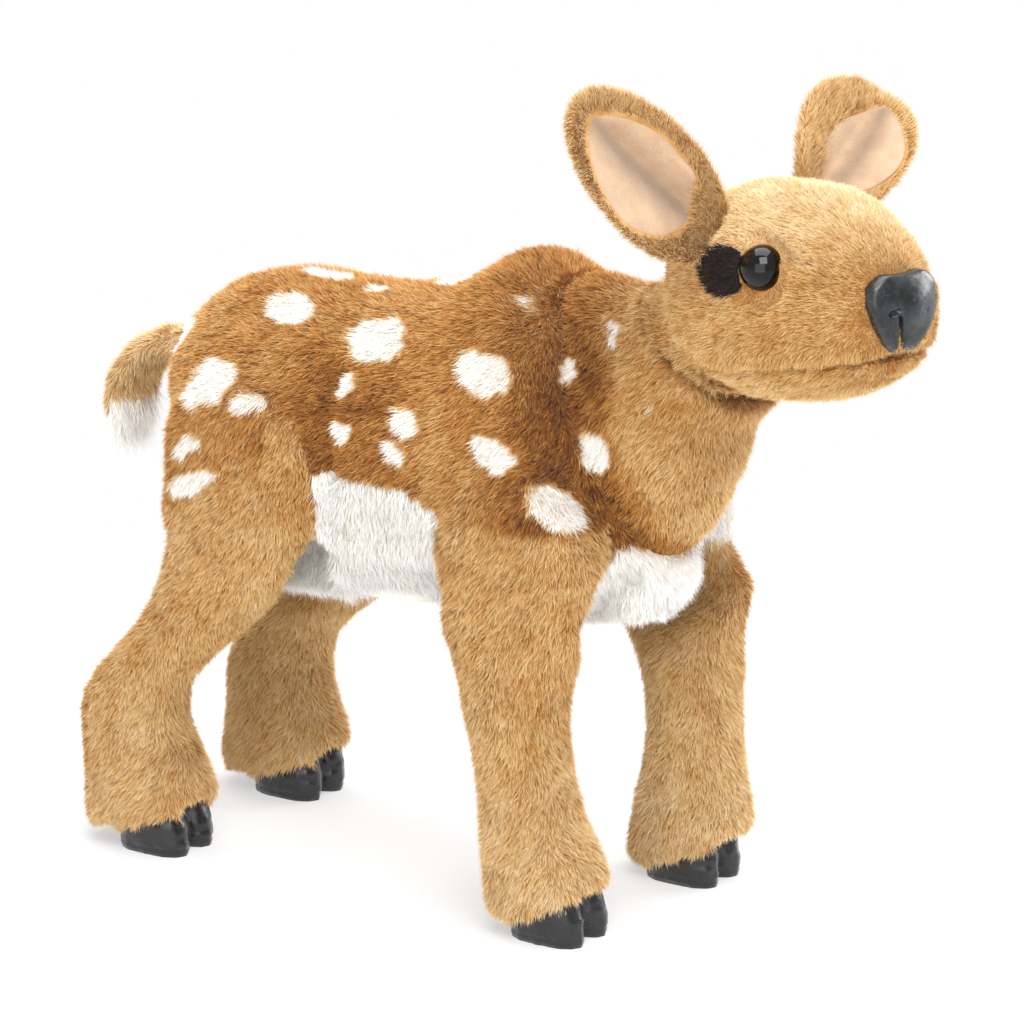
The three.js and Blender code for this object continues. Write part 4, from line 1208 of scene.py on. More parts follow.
@dataclass
class Trunk:
    """The saddle, belly and four legs' skins, fused so that the cloth runs on from one to the next."""

    shop: Workshop
    neck: "Neck"
    voxel: float = 3.0 * MM
    rounds: int = 12
    inset: float = 1.8 * MM
    bend_top: float = 118 * MM
    bend_foot: float = 40 * MM
    collar_gap: float = 1.3 * MM
    nape_still: tuple = (0, -10 * MM, 215 * MM)
    nape_moved: tuple = (0, -45 * MM, 262 * MM)
    RUMP_PULL, RUMP_HEIGHT, RUMP_REACH = 17 * MM, 168, 27
    BACK = ((-70, -33, 4, 34, 99, 138, 156), (6.0, 8.0, 3.5, 4.5, 4.5, 5.5, 3.0))
    FOLDS = (
        (((46, 53, 216), (57, 49, 177), (50, 51, 140)), 5.0, 4.5),
        (((40, 71, 224), (60, 66, 182)), -2.2, 9.0),
        (((66, 124, 151), (66, 90, 173), (62, 74, 184)), 2.4, 2.5),
        (((64, -10, 172), (62, -60, 168)), 1.0, 3.0),
    )

    def build(self) -> None:
        """Builds and dresses the trunk and the legs."""
        legs = [f"{part}_{s.value}_{side.word}" for s in Station for side in Side for part in ("leg", "hoof")]
        packed = [f"leg_stuffing_{s.value}_{side.word}" for s in Station for side in Side]
        cloths = ["saddle_panel", "belly_panel", "hand_sleeve", "sleeve_hem", *legs]
        form = FusedForm(cloths, self.voxel, self.rounds, filling=["body_stuffing", *packed])
        form.drop(self._in_socket)
        form.shape(self._relief)
        form.draw(self._rump)
        form.draw(self._back)
        form.draw(STANCE.move)
        form.draw(self._collar)
        self._saddle(form)
        self._belly(form)
        for station in Station:
            for side in Side:
                self._leg(form, station, side)

    def _in_socket(self, centres: Points, normals: Points) -> Points:
        """Which faces line the socket that the neck turns in."""
        away = (centres - np.array(self.neck.ball) * MM) / (np.array([40, 58, 58]) * MM)
        facing = (unit(away) * normals).sum(1)
        return (np.linalg.norm(away, axis=1) < 1.3) & (facing < 0.2) & (RIM.past(centres) > -70)

    def _relief(self, points: Points, normals: Points) -> Points:
        """The stuffing's unevenness and the folds where the cloth is drawn in."""
        lift = -self.inset + 0.9 * MM * cloud(points, 24 * MM, 2)
        for side in Side:
            for run, depth, reach in self.FOLDS:
                for start, end in zip(run, run[1:]):
                    first, last = (np.array(p) * MM * np.array([side.value, 1, 1]) for p in (start, end))
                    away = away_from_line(points, first, last)
                    lift -= depth / (len(run) - 1) * MM * np.exp(-((away / (reach * MM)) ** 2))
        return lift

    def _rump(self, points: Points, normals: Points) -> Points:
        """How far the rump is drawn in under the tail."""
        x, y, z = sides_of(points)
        pull = self.RUMP_PULL * smooth(y, 118, 156) * np.exp(-(((z - self.RUMP_HEIGHT) / self.RUMP_REACH) ** 2))
        return rows_of(0.0, -pull, 0.0)

    def _back(self, points: Points, normals: Points) -> Points:
        """How far the back and the withers stand up."""
        x, y, z = sides_of(points)
        lift = np.interp(y, *self.BACK) * MM * smooth(z, 205, 236)
        return rows_of(0.0, 0.0, lift)

    def _collar(self, points: Points, normals: Points) -> Points:
        """How the cloth's rim is drawn down on to the neck."""
        nearest, outward, away = nearest_on(self.neck.tree, points)
        share = smooth(RIM.past(points), -22, -3) * (1 - smooth(away, 15 * MM, 29 * MM))
        return (nearest + outward * self.collar_gap - points) * share[:, None]

    @staticmethod
    def _lie(points: Points, normals: Points) -> Points:
        """The saddle's pile runs back and down, and hangs over the cloth's front rim."""
        rim = smooth(RIM.past(points), -9, -3)[:, None]
        return np.array([0, 0.8, -0.75]) * (1 - rim) + np.array([0, -0.9, -0.5]) * rim

    def _saddle(self, form: FusedForm) -> None:
        """The spotted back and flanks, whose cloth at the nape lies drawn down on to the neck."""
        coat = Coat("saddle_coat", self._lie, Dyes.spotted, wall=0.7 * MM, seed=3)
        for piece in self.shop.dress(form.part("saddle_panel"), coat):
            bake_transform(piece)
            if piece.name == coat.name:
                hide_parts("saddle_panel", "body_stuffing")

    def _belly(self, form: FusedForm) -> None:
        """The white belly and chest."""
        coat = Coat(
            "belly_coat", lying(0, -0.35, -0.8), Dyes.white, length=6.5 * MM, unruly=0.4, wall=0.7 * MM, seed=7
        )
        for piece in self.shop.dress(form.part("belly_panel"), coat):
            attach(piece, "torso")
            if piece.name == coat.name:
                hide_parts("belly_panel")

    def _leg(self, form: FusedForm, station: Station, side: Side) -> None:
        """One leg, from its border with the trunk down."""
        name = f"leg_{station.value}_{side.word}"
        coat = Coat(
            name + "_coat",
            lying(0, 0.12 if station is Station.FRONT else 0.32, -1),
            lambda points: Dyes.leg(points, station),
            length=4.3 * MM,
            seed=11 + 2 * side.value + (4 if station is Station.HIND else 0),
        )
        for piece in self.shop.dress(form.part(name), coat):
            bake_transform(piece)
            if piece.name == coat.name:
                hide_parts(name, f"leg_stuffing_{station.value}_{side.word}")


@dataclass
class Neck:
    """The neck, whose round foot turns inside the shoulders."""

    shop: Workshop
    voxel: float = 2.6 * MM
    rounds: int = 8
    inset: float = 1.0 * MM
    ball: tuple[float, float, float] = (-0.5, -47.1, 195.0)
    NAPE_RISE, THROAT_PULL = 5 * MM, 9 * MM
    SEAM = ((-29, -97, 236), (-34, -87, 212), (-35, -74, 202))

    def __post_init__(self) -> None:
        """Fuses the neck, so that the trunk's collar can lie on it."""
        self.form = FusedForm(["neck_cover", "neck_lining"], self.voxel, self.rounds)
        self.form.shape(self._relief)
        self.form.draw(self._bend)
        self.tree = self.form.tree()

    def _bend(self, points: Points, normals: Points) -> Points:
        """Raises the nape and draws the throat in."""
        x, y, z = sides_of(points)
        nape = self.NAPE_RISE * smooth(z, 222, 246) * smooth(y, -96, -70)
        throat = self.THROAT_PULL * smooth(y, -88, -116) * np.exp(-(((z - 205) / 17) ** 2))
        return rows_of(0.0, throat, nape)

    def _relief(self, points: Points, normals: Points) -> Points:
        """The stuffing's unevenness and the seam of the throat."""
        lift = -self.inset + 0.5 * MM * cloud(points, 22 * MM, 5)
        for side in Side:
            flip = np.array([-side.value, 1, 1])
            for start, end in zip(self.SEAM, self.SEAM[1:]):
                away = away_from_line(points, np.array(start) * flip * MM, np.array(end) * flip * MM)
                lift -= 1.0 * MM * np.exp(-((away / (2.5 * MM)) ** 2))
        return lift

    @staticmethod
    def _pile(points: Points, normals: Points) -> Points:
        """The pile is short where it lies under the trunk's rim."""
        past = RIM.past(points)
        return 0.22 + 0.38 * smooth(past, -13, -7) + 0.4 * smooth(past, -6, 4)

    def build(self) -> None:
        """Dresses the neck."""
        outside = self.form.part("neck_cover")
        coat = Coat("neck_coat", lying(0, 0.55, -1), Dyes.neck, seed=21)
        coat.cover = lambda points, normals: smooth(RIM.past(points), -22, -18)
        coat.pile = self._pile
        for piece in self.shop.dress(outside, coat):
            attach(piece, "neck")
            if piece.name == coat.name:
                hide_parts("neck_cover", "neck_lining")


@dataclass
class Head:
    """The head with its jaw, nose, eyes and dark patches."""

    shop: Workshop
    neck: Neck
    voxel: float = 1.8 * MM
    rounds: int = 9
    inset: float = 1.2 * MM
    yaw: float = -16.0
    eye_turn: float = 24.0
    eye_radius: float = 8.8 * MM
    eye_setback: float = 1.6 * MM
    eye_rise: float = 1.6 * MM
    dome_top: float = 2.6 * MM
    pile_length: float = 3.1 * MM
    pile_width: float = 0.38 * MM
    lip_drop: float = 0.7 * MM
    nose_voxel: float = 0.6 * MM
    nose_rounds: int = 48
    neck_gap: float = 1.4 * MM
    jaw_voxel: float = 1.4 * MM
    jaw_inset: float = 1.3 * MM
    jaw_rise: float = 1.4 * MM
    CREASES = (
        (((-48, -145, 291), (-51, -160, 285), (-54, -174, 279), (-53, -184, 277)), 4.6, 3.6),
        (((-33, -106, 233), (-44, -128, 237)), 1.6, 2.5),
    )
    BULGES = (((-40, -163, 298), 1.5, 13.0), ((-52, -152, 264), 1.5, 15.0))
    PATCH = (-52.4, -131.2, 278.1)
    PATCH_LONG, PATCH_HIGH = 11.5 * MM, 9.0 * MM

    def __post_init__(self) -> None:
        """Works out the head's own directions and the places that its pile gives way to."""
        turn = math.radians(self.yaw)
        self.ahead = np.array([math.sin(turn), -math.cos(turn), 0])
        self.across = np.array([math.cos(turn), math.sin(turn), 0])
        self.nose_tip = self._middle("nose") - self.ahead * 4 * MM
        self.sockets = {side: self._socket(side) for side in Side}
        self.middle = sum(self.sockets[side] for side in Side) / 2
        shift = np.array([0, 0, self.eye_rise]) - self.ahead * self.eye_setback
        self.eyes = {side: self.sockets[side] + shift for side in Side}
        lining = frame["nodes"]["upper_mouth_lining"].data
        self.mouth = tree_of(lining)

    @staticmethod
    def _middle(node: str) -> Points:
        """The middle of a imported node's box."""
        low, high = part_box(node)
        return np.array((low + high) / 2)

    def _looking(self, side: Side) -> Points:
        """The way an eye looks."""
        turn = math.radians(self.eye_turn)
        return self.across * side.value * math.cos(turn) + self.ahead * math.sin(turn)

    def _socket(self, side: Side) -> Points:
        """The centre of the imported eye's dome."""
        low, high = (np.array(corner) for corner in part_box(f"eye_{side.word}"))
        radius = (high[2] - low[2]) / 2
        out = self._looking(side)
        reach = np.where(out > 0, high, low) - np.sign(out) * radius
        return np.array([reach[0], reach[1], (low[2] + high[2]) / 2])

    def _on(self, side: Side, place: Sequence[float]) -> Points:
        """A place given in millimetres on the right side of the head, or its like on the left."""
        spot = np.array(place) * MM
        if side is Side.LEFT:
            spot = spot - 2 * ((spot - self.middle) @ self.across) * self.across
        return spot

    def build(self) -> None:
        """Builds every piece of the head."""
        self._skull()
        self._jaw()
        self._patches()
        self._mouth()
        self._nose()
        self._eyes()

    def _relief(self, points: Points, normals: Points) -> Points:
        """The brow, the cheeks, the furrows and the dip that the nose lies in."""
        lift = -self.inset + 0.5 * MM * cloud(points, 16 * MM, 6)
        for side in Side:
            for run, depth, reach in self.CREASES:
                for start, end in zip(run, run[1:]):
                    away = away_from_line(points, self._on(side, start), self._on(side, end))
                    lift -= depth / (len(run) - 1) * MM * np.exp(-((away / (reach * MM)) ** 2))
            for place, height, reach in self.BULGES:
                away = np.linalg.norm(points - self._on(side, place), axis=1)
                lift += height * MM * np.exp(-((away / (reach * MM)) ** 2))
        away = np.linalg.norm(points - self.nose_tip, axis=1)
        return lift - 1.4 * MM * (1 - smooth(away, 12 * MM, 20 * MM))

    def _level_sockets(self, points: Points, normals: Points) -> Points:
        """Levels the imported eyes' domes, since the eyes are seated a little further back."""
        move = np.zeros_like(points)
        for side in Side:
            out = self._looking(side)
            away = points - self.sockets[side]
            height = away @ out
            aside = np.linalg.norm(away - height[:, None] * out, axis=1)
            excess = np.maximum(height - self.dome_top, 0) * (1 - smooth(aside, 11 * MM, 15 * MM))
            move -= excess[:, None] * out
        return move

    def _lips(self, points: Points, normals: Points) -> Points:
        """The upper lip hangs a little over the mouth's lining."""
        near = 1 - smooth(self._from_mouth(points), 2 * MM, 6 * MM)
        return near[:, None] * np.array([0, 0, -self.lip_drop])

    def _rest(self, points: Points, normals: Points) -> Points:
        """How the head's back edge is drawn down on to the neck."""
        nearest, outward, away = nearest_on(self.neck.tree, points)
        facing = smooth((outward * normals).sum(1), 0.0, 0.5)
        back = smooth(points[:, 1], -150 * MM, -138 * MM) * smooth(points[:, 2], 236 * MM, 246 * MM)
        share = (1 - smooth(away, 4 * MM, 10 * MM)) * back * facing
        return (nearest + outward * self.neck_gap - points) * share[:, None]

    def _in_patch(self, side: Side, points: Points) -> Points:
        """How far out each place lies from the middle of an eye's dark patch, its edge being 1."""
        away = points - self._on(side, self.PATCH)
        return np.sqrt((away @ self.ahead / self.PATCH_LONG) ** 2 + (away[:, 2] / self.PATCH_HIGH) ** 2)

    def _from_neck(self, points: Points) -> Points:
        """How far each place lies from the neck."""
        return nearest_on(self.neck.tree, points)[2]

    def _from_mouth(self, points: Points) -> Points:
        """How far each place lies from the mouth's lining."""
        return nearest_on(self.mouth, points)[2]

    def _pile(self, points: Points, normals: Points) -> Points:
        """The pile is short round the eyes and the nose."""
        length = np.ones(len(points))
        for side in Side:
            away = np.linalg.norm(points - self.eyes[side], axis=1)
            length = np.minimum(length, 0.35 + 0.65 * smooth(away, 8 * MM, 17 * MM))
        away = np.linalg.norm(points - self.nose_tip, axis=1)
        length = np.minimum(length, 0.6 + 0.4 * smooth(away, 16 * MM, 34 * MM))
        length += 0.6 * (1 - smooth(self._from_neck(points), 3 * MM, 8 * MM))
        return length * (1 + 0.35 * (1 - smooth(self._from_mouth(points), 3 * MM, 7 * MM)))

    def _lie(self, points: Points, normals: Points) -> Points:
        """The pile runs back from the nose, away from each eye, and down over the lips."""
        back = unit(points - self.nose_tip) + np.array([0, 0, -0.3])
        for side in Side:
            out = points - self.eyes[side]
            near = 1 - smooth(np.linalg.norm(out, axis=1), 9 * MM, 17 * MM)
            back = back * (1 - 0.7 * near[:, None]) + unit(out) * 1.1 * near[:, None]
        lips = 1 - smooth(self._from_mouth(points), 3 * MM, 8 * MM)
        nape = 1 - smooth(self._from_neck(points), 3 * MM, 8 * MM)
        return back + lips[:, None] * np.array([0, 0, -1.8]) + nape[:, None] * np.array([0, 0.6, -0.8])

    def _jaw_lie(self, points: Points, normals: Points) -> Points:
        """Under the jaw the pile runs back."""
        return unit(points - self.nose_tip) + np.array([0, 0, 0.1])

    def _cover(self, points: Points, normals: Points) -> Points:
        """The pile leaves room for the eyes, the nose and the dark patches."""
        cover = np.ones(len(points))
        for side in Side:
            cover *= smooth(np.linalg.norm(points - self.eyes[side], axis=1), 7.8 * MM, 8.8 * MM)
            facing = np.sign(((points - self.middle) @ self.across) * side.value)
            cover *= np.where(facing > 0, smooth(self._in_patch(side, points), 0.7, 0.95), 1)
        return cover

    def _skull(self) -> None:
        """The head above the mouth."""
        filling = ["head_stuffing", "finger_pocket", "nose", "upper_mouth_lining"]
        filling += [f"{part}_{side.word}" for side in Side for part in ("eye", "eye_patch", "eye_washer")]
        form = FusedForm(["head_cover"], self.voxel, self.rounds, filling)
        form.shape(self._relief)
        form.draw(self._level_sockets)
        form.draw(self._lips)
        form.draw(self._rest)
        coat = Coat("head_coat", self._lie, Dyes.head, self.pile_length, self.pile_width, density=6.2e6, seed=31)
        coat.pile, coat.cover, coat.wall = self._pile, self._cover, 0.8 * MM
        for piece in self.shop.dress(form.part("head_cover"), coat):
            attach(piece, "head")
            if piece.name == coat.name:
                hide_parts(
                    "head_cover", "head_stuffing", "finger_pocket", "eye_washer_right", "eye_washer_left"
                )

    def _jaw(self) -> None:
        """The lower jaw, stuffed, a little inside the upper lip."""
        form = FusedForm(["jaw_cover"], self.jaw_voxel, 9, ["lower_mouth_lining"])
        form.shape(lambda points, normals: np.full(len(points), -self.jaw_inset))
        form.draw(lying(0, 0, self.jaw_rise))
        coat = Coat("jaw_coat", self._jaw_lie, Dyes.head, self.pile_length, self.pile_width, density=5.6e6, seed=37)
        coat.pile = self._pile
        for piece in self.shop.dress(form.part("jaw_cover"), coat):
            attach(piece, "jaw")
            if piece.name == coat.name:
                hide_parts("jaw_cover")

    def _patches(self) -> None:
        """The dark patch of pile behind each eye."""
        for side in Side:
            node = f"eye_patch_{side.word}"
            out = self.across * side.value
            form = FusedForm([node], 0.9 * MM, 4)
            form.drop(lambda centres, normals: self._in_patch(side, centres) > 1.0)
            form.drop(lambda centres, normals: normals @ out < 0.05)
            coat = Coat(node + "_coat", self._lie, Dyes.dark, 3.6 * MM, self.pile_width, seed=41 + side.value)
            coat.density, coat.wall, coat.pile = 6.5e6, 0.6 * MM, self._pile
            for piece in self.shop.dress(form.part(node), coat):
                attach(piece, "head")
                if piece.name == coat.name:
                    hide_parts(node)

    def _mouth(self) -> None:
        """The two linings of the mouth, drawn in behind the lips."""
        cloth = ClothFinish("mouth_lining", (150, 104, 66), (112, 76, 46)).material()
        for node, body in (("upper_mouth_lining", "head"), ("lower_mouth_lining", "jaw")):
            form = FusedForm([node], 0.8 * MM, 3)
            middle = self._middle(node)
            form.draw(lambda points, normals: (middle - points) * np.array([0.09, 0.06, 0]))
            piece = show(node + "_cloth", form.part(node).mesh(node), cloth)
            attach(piece, body)
            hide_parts(node)

    def _nose(self) -> None:
        """The leatherette nose with its nostrils and the pinched fold below them."""
        # The nose's lighter rubbed colour stands partly for wear and partly for painted highlights.
        leather = LeatheretteFinish("nose_leatherette", rubbed=(48, 52, 58)).material()
        form = FusedForm(["nose"], self.nose_voxel, self.nose_rounds)
        centre = self._middle("nose")
        pinched = ((-4.6, -1.0), (-3.4, -6.0), (-2.6, -13.0))

        def fit(points: Points, normals: Points) -> Points:
            """Draws the nose back and a little up, and makes it narrower."""
            away = points - centre
            shrink = -0.08 * (away @ self.across)[:, None] * self.across
            shift = -self.ahead * 2.4 * MM - self.across * 1.5 * MM + np.array([0, 0, 1.6 * MM])
            return shrink + shift + away * np.array([0, 0, -0.02])

        def pinch(points: Points, normals: Points) -> Points:
            """The crown, the pinched fold and the curls of the nostrils."""
            away = points - centre - np.array([0, 0, 2.0 * MM]) + self.across * 1.9 * MM
            face = np.stack([away @ self.across / MM, away[:, 2] / MM, np.zeros(len(away))], axis=1)
            front = smooth(normals @ self.ahead, 0.0, 0.5)
            fold = np.full(len(away), 99.0)
            for start, end in zip(pinched, pinched[1:]):
                fold = np.minimum(fold, away_from_line(face, (*start, 0), (*end, 0)))
            curl = away_from_line(face, (-8.6, 0.6, 0), (-5.4, 1.6, 0))
            far_curl = away_from_line(face, (5.6, 1.4, 0), (8.0, 0.6, 0))
            crown = 3.6 * np.exp(-(((face[:, 0] - 1.5) / 10) ** 2) - ((face[:, 1] - 2) / 9) ** 2)
            dents = 3.2 * np.exp(-((fold / 0.9) ** 2)) + 2.4 * np.exp(-((curl / 1.0) ** 2))
            return 1.1 * MM + front * (crown - dents - 0.4 * np.exp(-((far_curl / 1.0) ** 2))) * MM

        form.draw(fit)
        form.shape(pinch)
        piece = show("nose_pad", form.part("nose").mesh("nose_pad"), leather)
        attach(piece, "head")
        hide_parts("nose")

    def _eyes(self) -> None:
        """The glossy domes."""
        gloss = EyeFinish().material()
        for side in Side:
            node = f"eye_{side.word}"
            ball = bmesh.new()
            bmesh.ops.create_uvsphere(ball, u_segments=48, v_segments=28, radius=self.eye_radius)
            turn = Vector(self._looking(side)).to_track_quat("Z", "Y").to_matrix()
            bmesh.ops.rotate(ball, verts=ball.verts, matrix=turn)
            bmesh.ops.translate(ball, verts=ball.verts, vec=Vector(self.eyes[side]))
            mesh = bpy.data.meshes.new(node + "_dome")
            ball.to_mesh(mesh)
            ball.free()
            piece = show(node + "_dome", mesh, gloss)
            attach(piece, "head")
            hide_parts(node)


@dataclass(frozen=True)
class EarShape:
    """How an ear stands: which way it points and opens, how far its inner edge rolls up at the foot, and how
    large it is."""

    side: Side
    up: tuple[float, float, float]
    face: tuple[float, float, float]
    roll: float
    length: float = 66 * MM
    inner_width: float = 19.5 * MM
    outer_width: float = 25.0 * MM
    thickness: float = 2.0 * MM
    foot: tuple[float, float, float] = (0.0, 0.0, 0.0)
    lining_long: float = 0.41
    lining_wide: float = 0.80
    lining_shift: float = -0.09
    valley: float = 4.6 * MM
    flap: float = 3.6 * MM
    curl_back: float = 0.05


@dataclass
class Ear:
    """A rolled leaf of plush with a velour lining laid in it."""

    shop: Workshop
    shape: EarShape

    def __post_init__(self) -> None:
        """Works out the ear's own directions."""
        self.node = f"ear_{self.shape.side.word}"
        joint = next(j for j in frame["joints"] if j["name"] == self.node + "_fold")
        self.root = np.array(joint["pos_m"]) + np.array(self.shape.foot) * MM
        self.up = unit(np.array(self.shape.up))
        face = np.array(self.shape.face)
        self.face = unit(face - self.up * (face @ self.up))
        across = np.cross(self.up, self.face)
        self.inward = across * -np.sign(across[0] * self.shape.side.value)

    def place(self, height: Points, aside: Points, lift: Points) -> Points:
        """Places on the ear's rolled middle surface, or above it.

        Args:
            height: 0 at the foot, 1 at the tip.
            aside: -1 at the outer edge, 1 at the inner edge.
            lift: How far in front of the middle surface.

        Returns:
            The places.
        """
        width = np.where(aside > 0, self.shape.inner_width, self.shape.outer_width)
        half = self._half(height) * width
        roll = np.where(aside > 0, 0.8 + self.shape.roll * np.clip(1 - height, 0, 1) ** 2, 0.62)
        over = half * np.sin(roll * aside) / roll
        ahead = half * (1 - np.cos(roll * aside)) / roll
        deep = smooth(height, 0, 0.25) * (1 - smooth(height, 0.68, 0.95))
        ahead = ahead - self.shape.valley * np.exp(-(((aside - 0.05) / 0.24) ** 2)) * deep
        flap = np.exp(-(((aside - 0.5) / 0.14) ** 2) - ((height - 0.26) / 0.13) ** 2)
        ahead = ahead + self.shape.flap * flap - self.shape.curl_back * self.shape.length * height**2
        tilt = (roll * aside)[:, None]
        outward = self.face * np.cos(tilt) - self.inward * np.sin(tilt)
        spine = self.root + self.up * (height * self.shape.length)[:, None]
        return spine + self.inward * over[:, None] + self.face * ahead[:, None] + outward * lift[:, None]

    def _half(self, height: Points) -> Points:
        """The share of the ear's width at a height."""
        return np.clip(1 - ((height - 0.45) / 0.56) ** 2, 0, 1) ** 0.45

    def _pod(self) -> bpy.types.Mesh:
        """The ear's closed form."""
        rows, ring = 44, 56
        height = np.repeat(0.455 - 0.555 * np.cos(np.linspace(0, math.pi, rows)), ring)
        turn = np.tile(np.linspace(0, 2 * math.pi, ring, endpoint=False), rows)
        slim = np.clip(self._half(height) * 3.4, 0, 1)
        points = self.place(height, np.cos(turn), self.shape.thickness * np.sin(turn) * slim)
        faces = [
            (r * ring + k, r * ring + (k + 1) % ring, (r + 1) * ring + (k + 1) % ring, (r + 1) * ring + k)
            for r in range(rows - 1)
            for k in range(ring)
        ]
        return closed_mesh(self.node, points, [*faces, tuple(range(ring))])

    def _lining(self, name: str) -> bpy.types.Mesh:
        """The lining, an oval sheet whose edge sinks into the pile."""
        rows, ring = 20, 72
        reach = np.append(0, np.repeat(np.linspace(0.05, 1, rows), ring))
        turn = np.append(0, np.tile(np.linspace(0, 2 * math.pi, ring, endpoint=False), rows))
        height = 0.495 + self.shape.lining_long * reach * np.sin(turn)
        aside = self.shape.lining_shift + self.shape.lining_wide * reach * np.cos(turn)
        slim = np.clip(self._half(height) * 3.4, 0, 1)
        lift = self.shape.thickness * np.sqrt(1 - aside**2) * slim + 0.7 * MM - 0.9 * MM * reach**8
        points = self.place(height, aside, lift)
        faces = [(0, 1 + k, 1 + (k + 1) % ring) for k in range(ring)]
        for row in range(rows - 1):
            low, high = 1 + row * ring, 1 + (row + 1) * ring
            faces += [(low + k, high + k, high + (k + 1) % ring, low + (k + 1) % ring) for k in range(ring)]
        mesh = bpy.data.meshes.new(name)
        mesh.from_pydata(points.tolist(), [], faces)
        mesh.update()
        set_map(mesh, 0.5 + 0.48 * reach * np.cos(turn), 0.5 + 0.48 * reach * np.sin(turn))
        return mesh

    def _comb(self, points: Points, normals: Points) -> Points:
        """The pile runs to the tip and out over the edges."""
        aside = np.clip((points - self.root) @ self.inward / self.shape.inner_width, -1, 1)
        return self.up * 0.8 + self.inward * aside[:, None]

    def build(self) -> None:
        """Builds and dresses the ear."""
        body = self.node + "_body"
        lining = f"ear_lining_{self.shape.side.word}"
        sheet = self._lining(lining + "_velour")
        tree = tree_of(sheet)

        def cover(points: Points, normals: Points) -> Points:
            """The pile leaves room for the lining."""
            return smooth(nearest_on(tree, points)[2], 0.9 * MM, 1.9 * MM)

        pod = self._pod()
        skin = Skin(points_in(pod), normals_in(pod), [tuple(p.vertices) for p in pod.polygons])
        coat = Coat(self.node + "_coat", self._comb, Dyes.ear, length=3.8 * MM, width=0.38 * MM, density=6e6)
        coat.cover, coat.wall, coat.seed = cover, 0.4 * MM, 53 + self.shape.side.value
        for piece in self.shop.dress(skin, coat):
            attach(piece, body)
            if piece.name == coat.name:
                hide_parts(self.node)
        velour = bpy.data.materials.get("ear_velour")
        # The ear velour carries painted shade in its valley.
        velour = velour or ClothFinish("ear_velour", (203, 172, 142), (176, 147, 119), hollow=0.42).material()
        piece = show(lining + "_velour", sheet, velour)
        wall = piece.modifiers.new("wall", "SOLIDIFY")
        wall.thickness = 0.6 * MM
        piece = show(lining + "_velour", settled(piece), velour)
        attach(piece, body)
        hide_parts(lining)


@dataclass
class Tail:
    """The tail, tan above and white below."""

    shop: Workshop

    @staticmethod
    def _flap(points: Points, normals: Points) -> Points:
        """Widens the tail to a short flap."""
        x, y, z = sides_of(points)
        wider = (x + 0.5) * 0.3 * smooth(y, 150, 172)
        shorter = -0.24 * np.maximum(y - 162, 0)
        return rows_of(wider, shorter, 0.0) * MM

    @staticmethod
    def _is_top(centres: Points, normals: Points) -> Points:
        """Which faces are tan: all but the lower ones that look forward or down."""
        under = normals @ unit(np.array([0, -0.6, -0.8])) > 0.25
        return ~(under & (centres[:, 2] < 179 * MM))

    def build(self) -> None:
        """Builds and dresses the tail."""
        form = FusedForm(["tail_top", "tail_underside"], 1.8 * MM, 5)
        form.shape(lambda points, normals: np.full(len(points), -2.2 * MM))
        form.draw(self._flap)
        form.split(self._is_top)
        lie = pointing_away(0, 150, 225, 0.5)
        top = Coat("tail_top_coat", lie, Dyes.tail, length=4.6 * MM, seed=61)
        under = Coat("tail_underside_coat", lying(0, -0.2, -1), Dyes.white, length=14 * MM, seed=63)
        under.unruly = 0.45
        for node, coat, slot in (
            ("tail_top", top, "tan_plush"),
            ("tail_underside", under, "white_plush"),
        ):
            for piece in self.shop.dress(form.part(node), coat):
                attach(piece, "tail")
                if piece.name == coat.name:
                    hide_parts(node)


@dataclass
class Hooves:
    """The four cloven hooves in leatherette."""

    sole_seam: float = 3.2 * MM

    def build(self) -> None:
        """Builds and finishes the hooves."""
        leather = LeatheretteFinish("hoof_leatherette").material()
        for station in Station:
            for side in Side:
                node = f"hoof_{station.value}_{side.word}"
                form = FusedForm([node], 1.0 * MM, 9)
                form.shape(self._wrinkles)
                form.draw(STANCE.move)
                self._stand(form.mesh)
                piece = show(node + "_shell", form.part(node).mesh(node), leather)
                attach(piece, f"leg_{station.value}_{side.word}_body")
                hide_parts(node)

    def _wrinkles(self, points: Points, normals: Points) -> Points:
        """Creases across the toes, and the seam just above the sole."""
        height = points[:, 2]
        upright = 1 - smooth(np.abs(normals[:, 2]), 0.5, 0.9)
        folds = points * np.array([0.5, 0.5, 1.6])
        lift = 0.35 * MM * cloud(folds, 4 * MM, 71) + 0.2 * MM * cloud(points, 2.4 * MM, 73)
        seam = np.exp(-(((height - self.sole_seam) / (0.7 * MM)) ** 2))
        return upright * (lift - 0.5 * MM * seam)

    @staticmethod
    def _stand(mesh: bpy.types.Mesh) -> None:
        """Keeps the soles flat on the ground."""
        points = points_in(mesh)
        points[:, 2] = np.maximum(points[:, 2], 0)
        low = points[:, 2] < 0.8 * MM
        points[low, 2] = 0
        move_to(mesh, points)


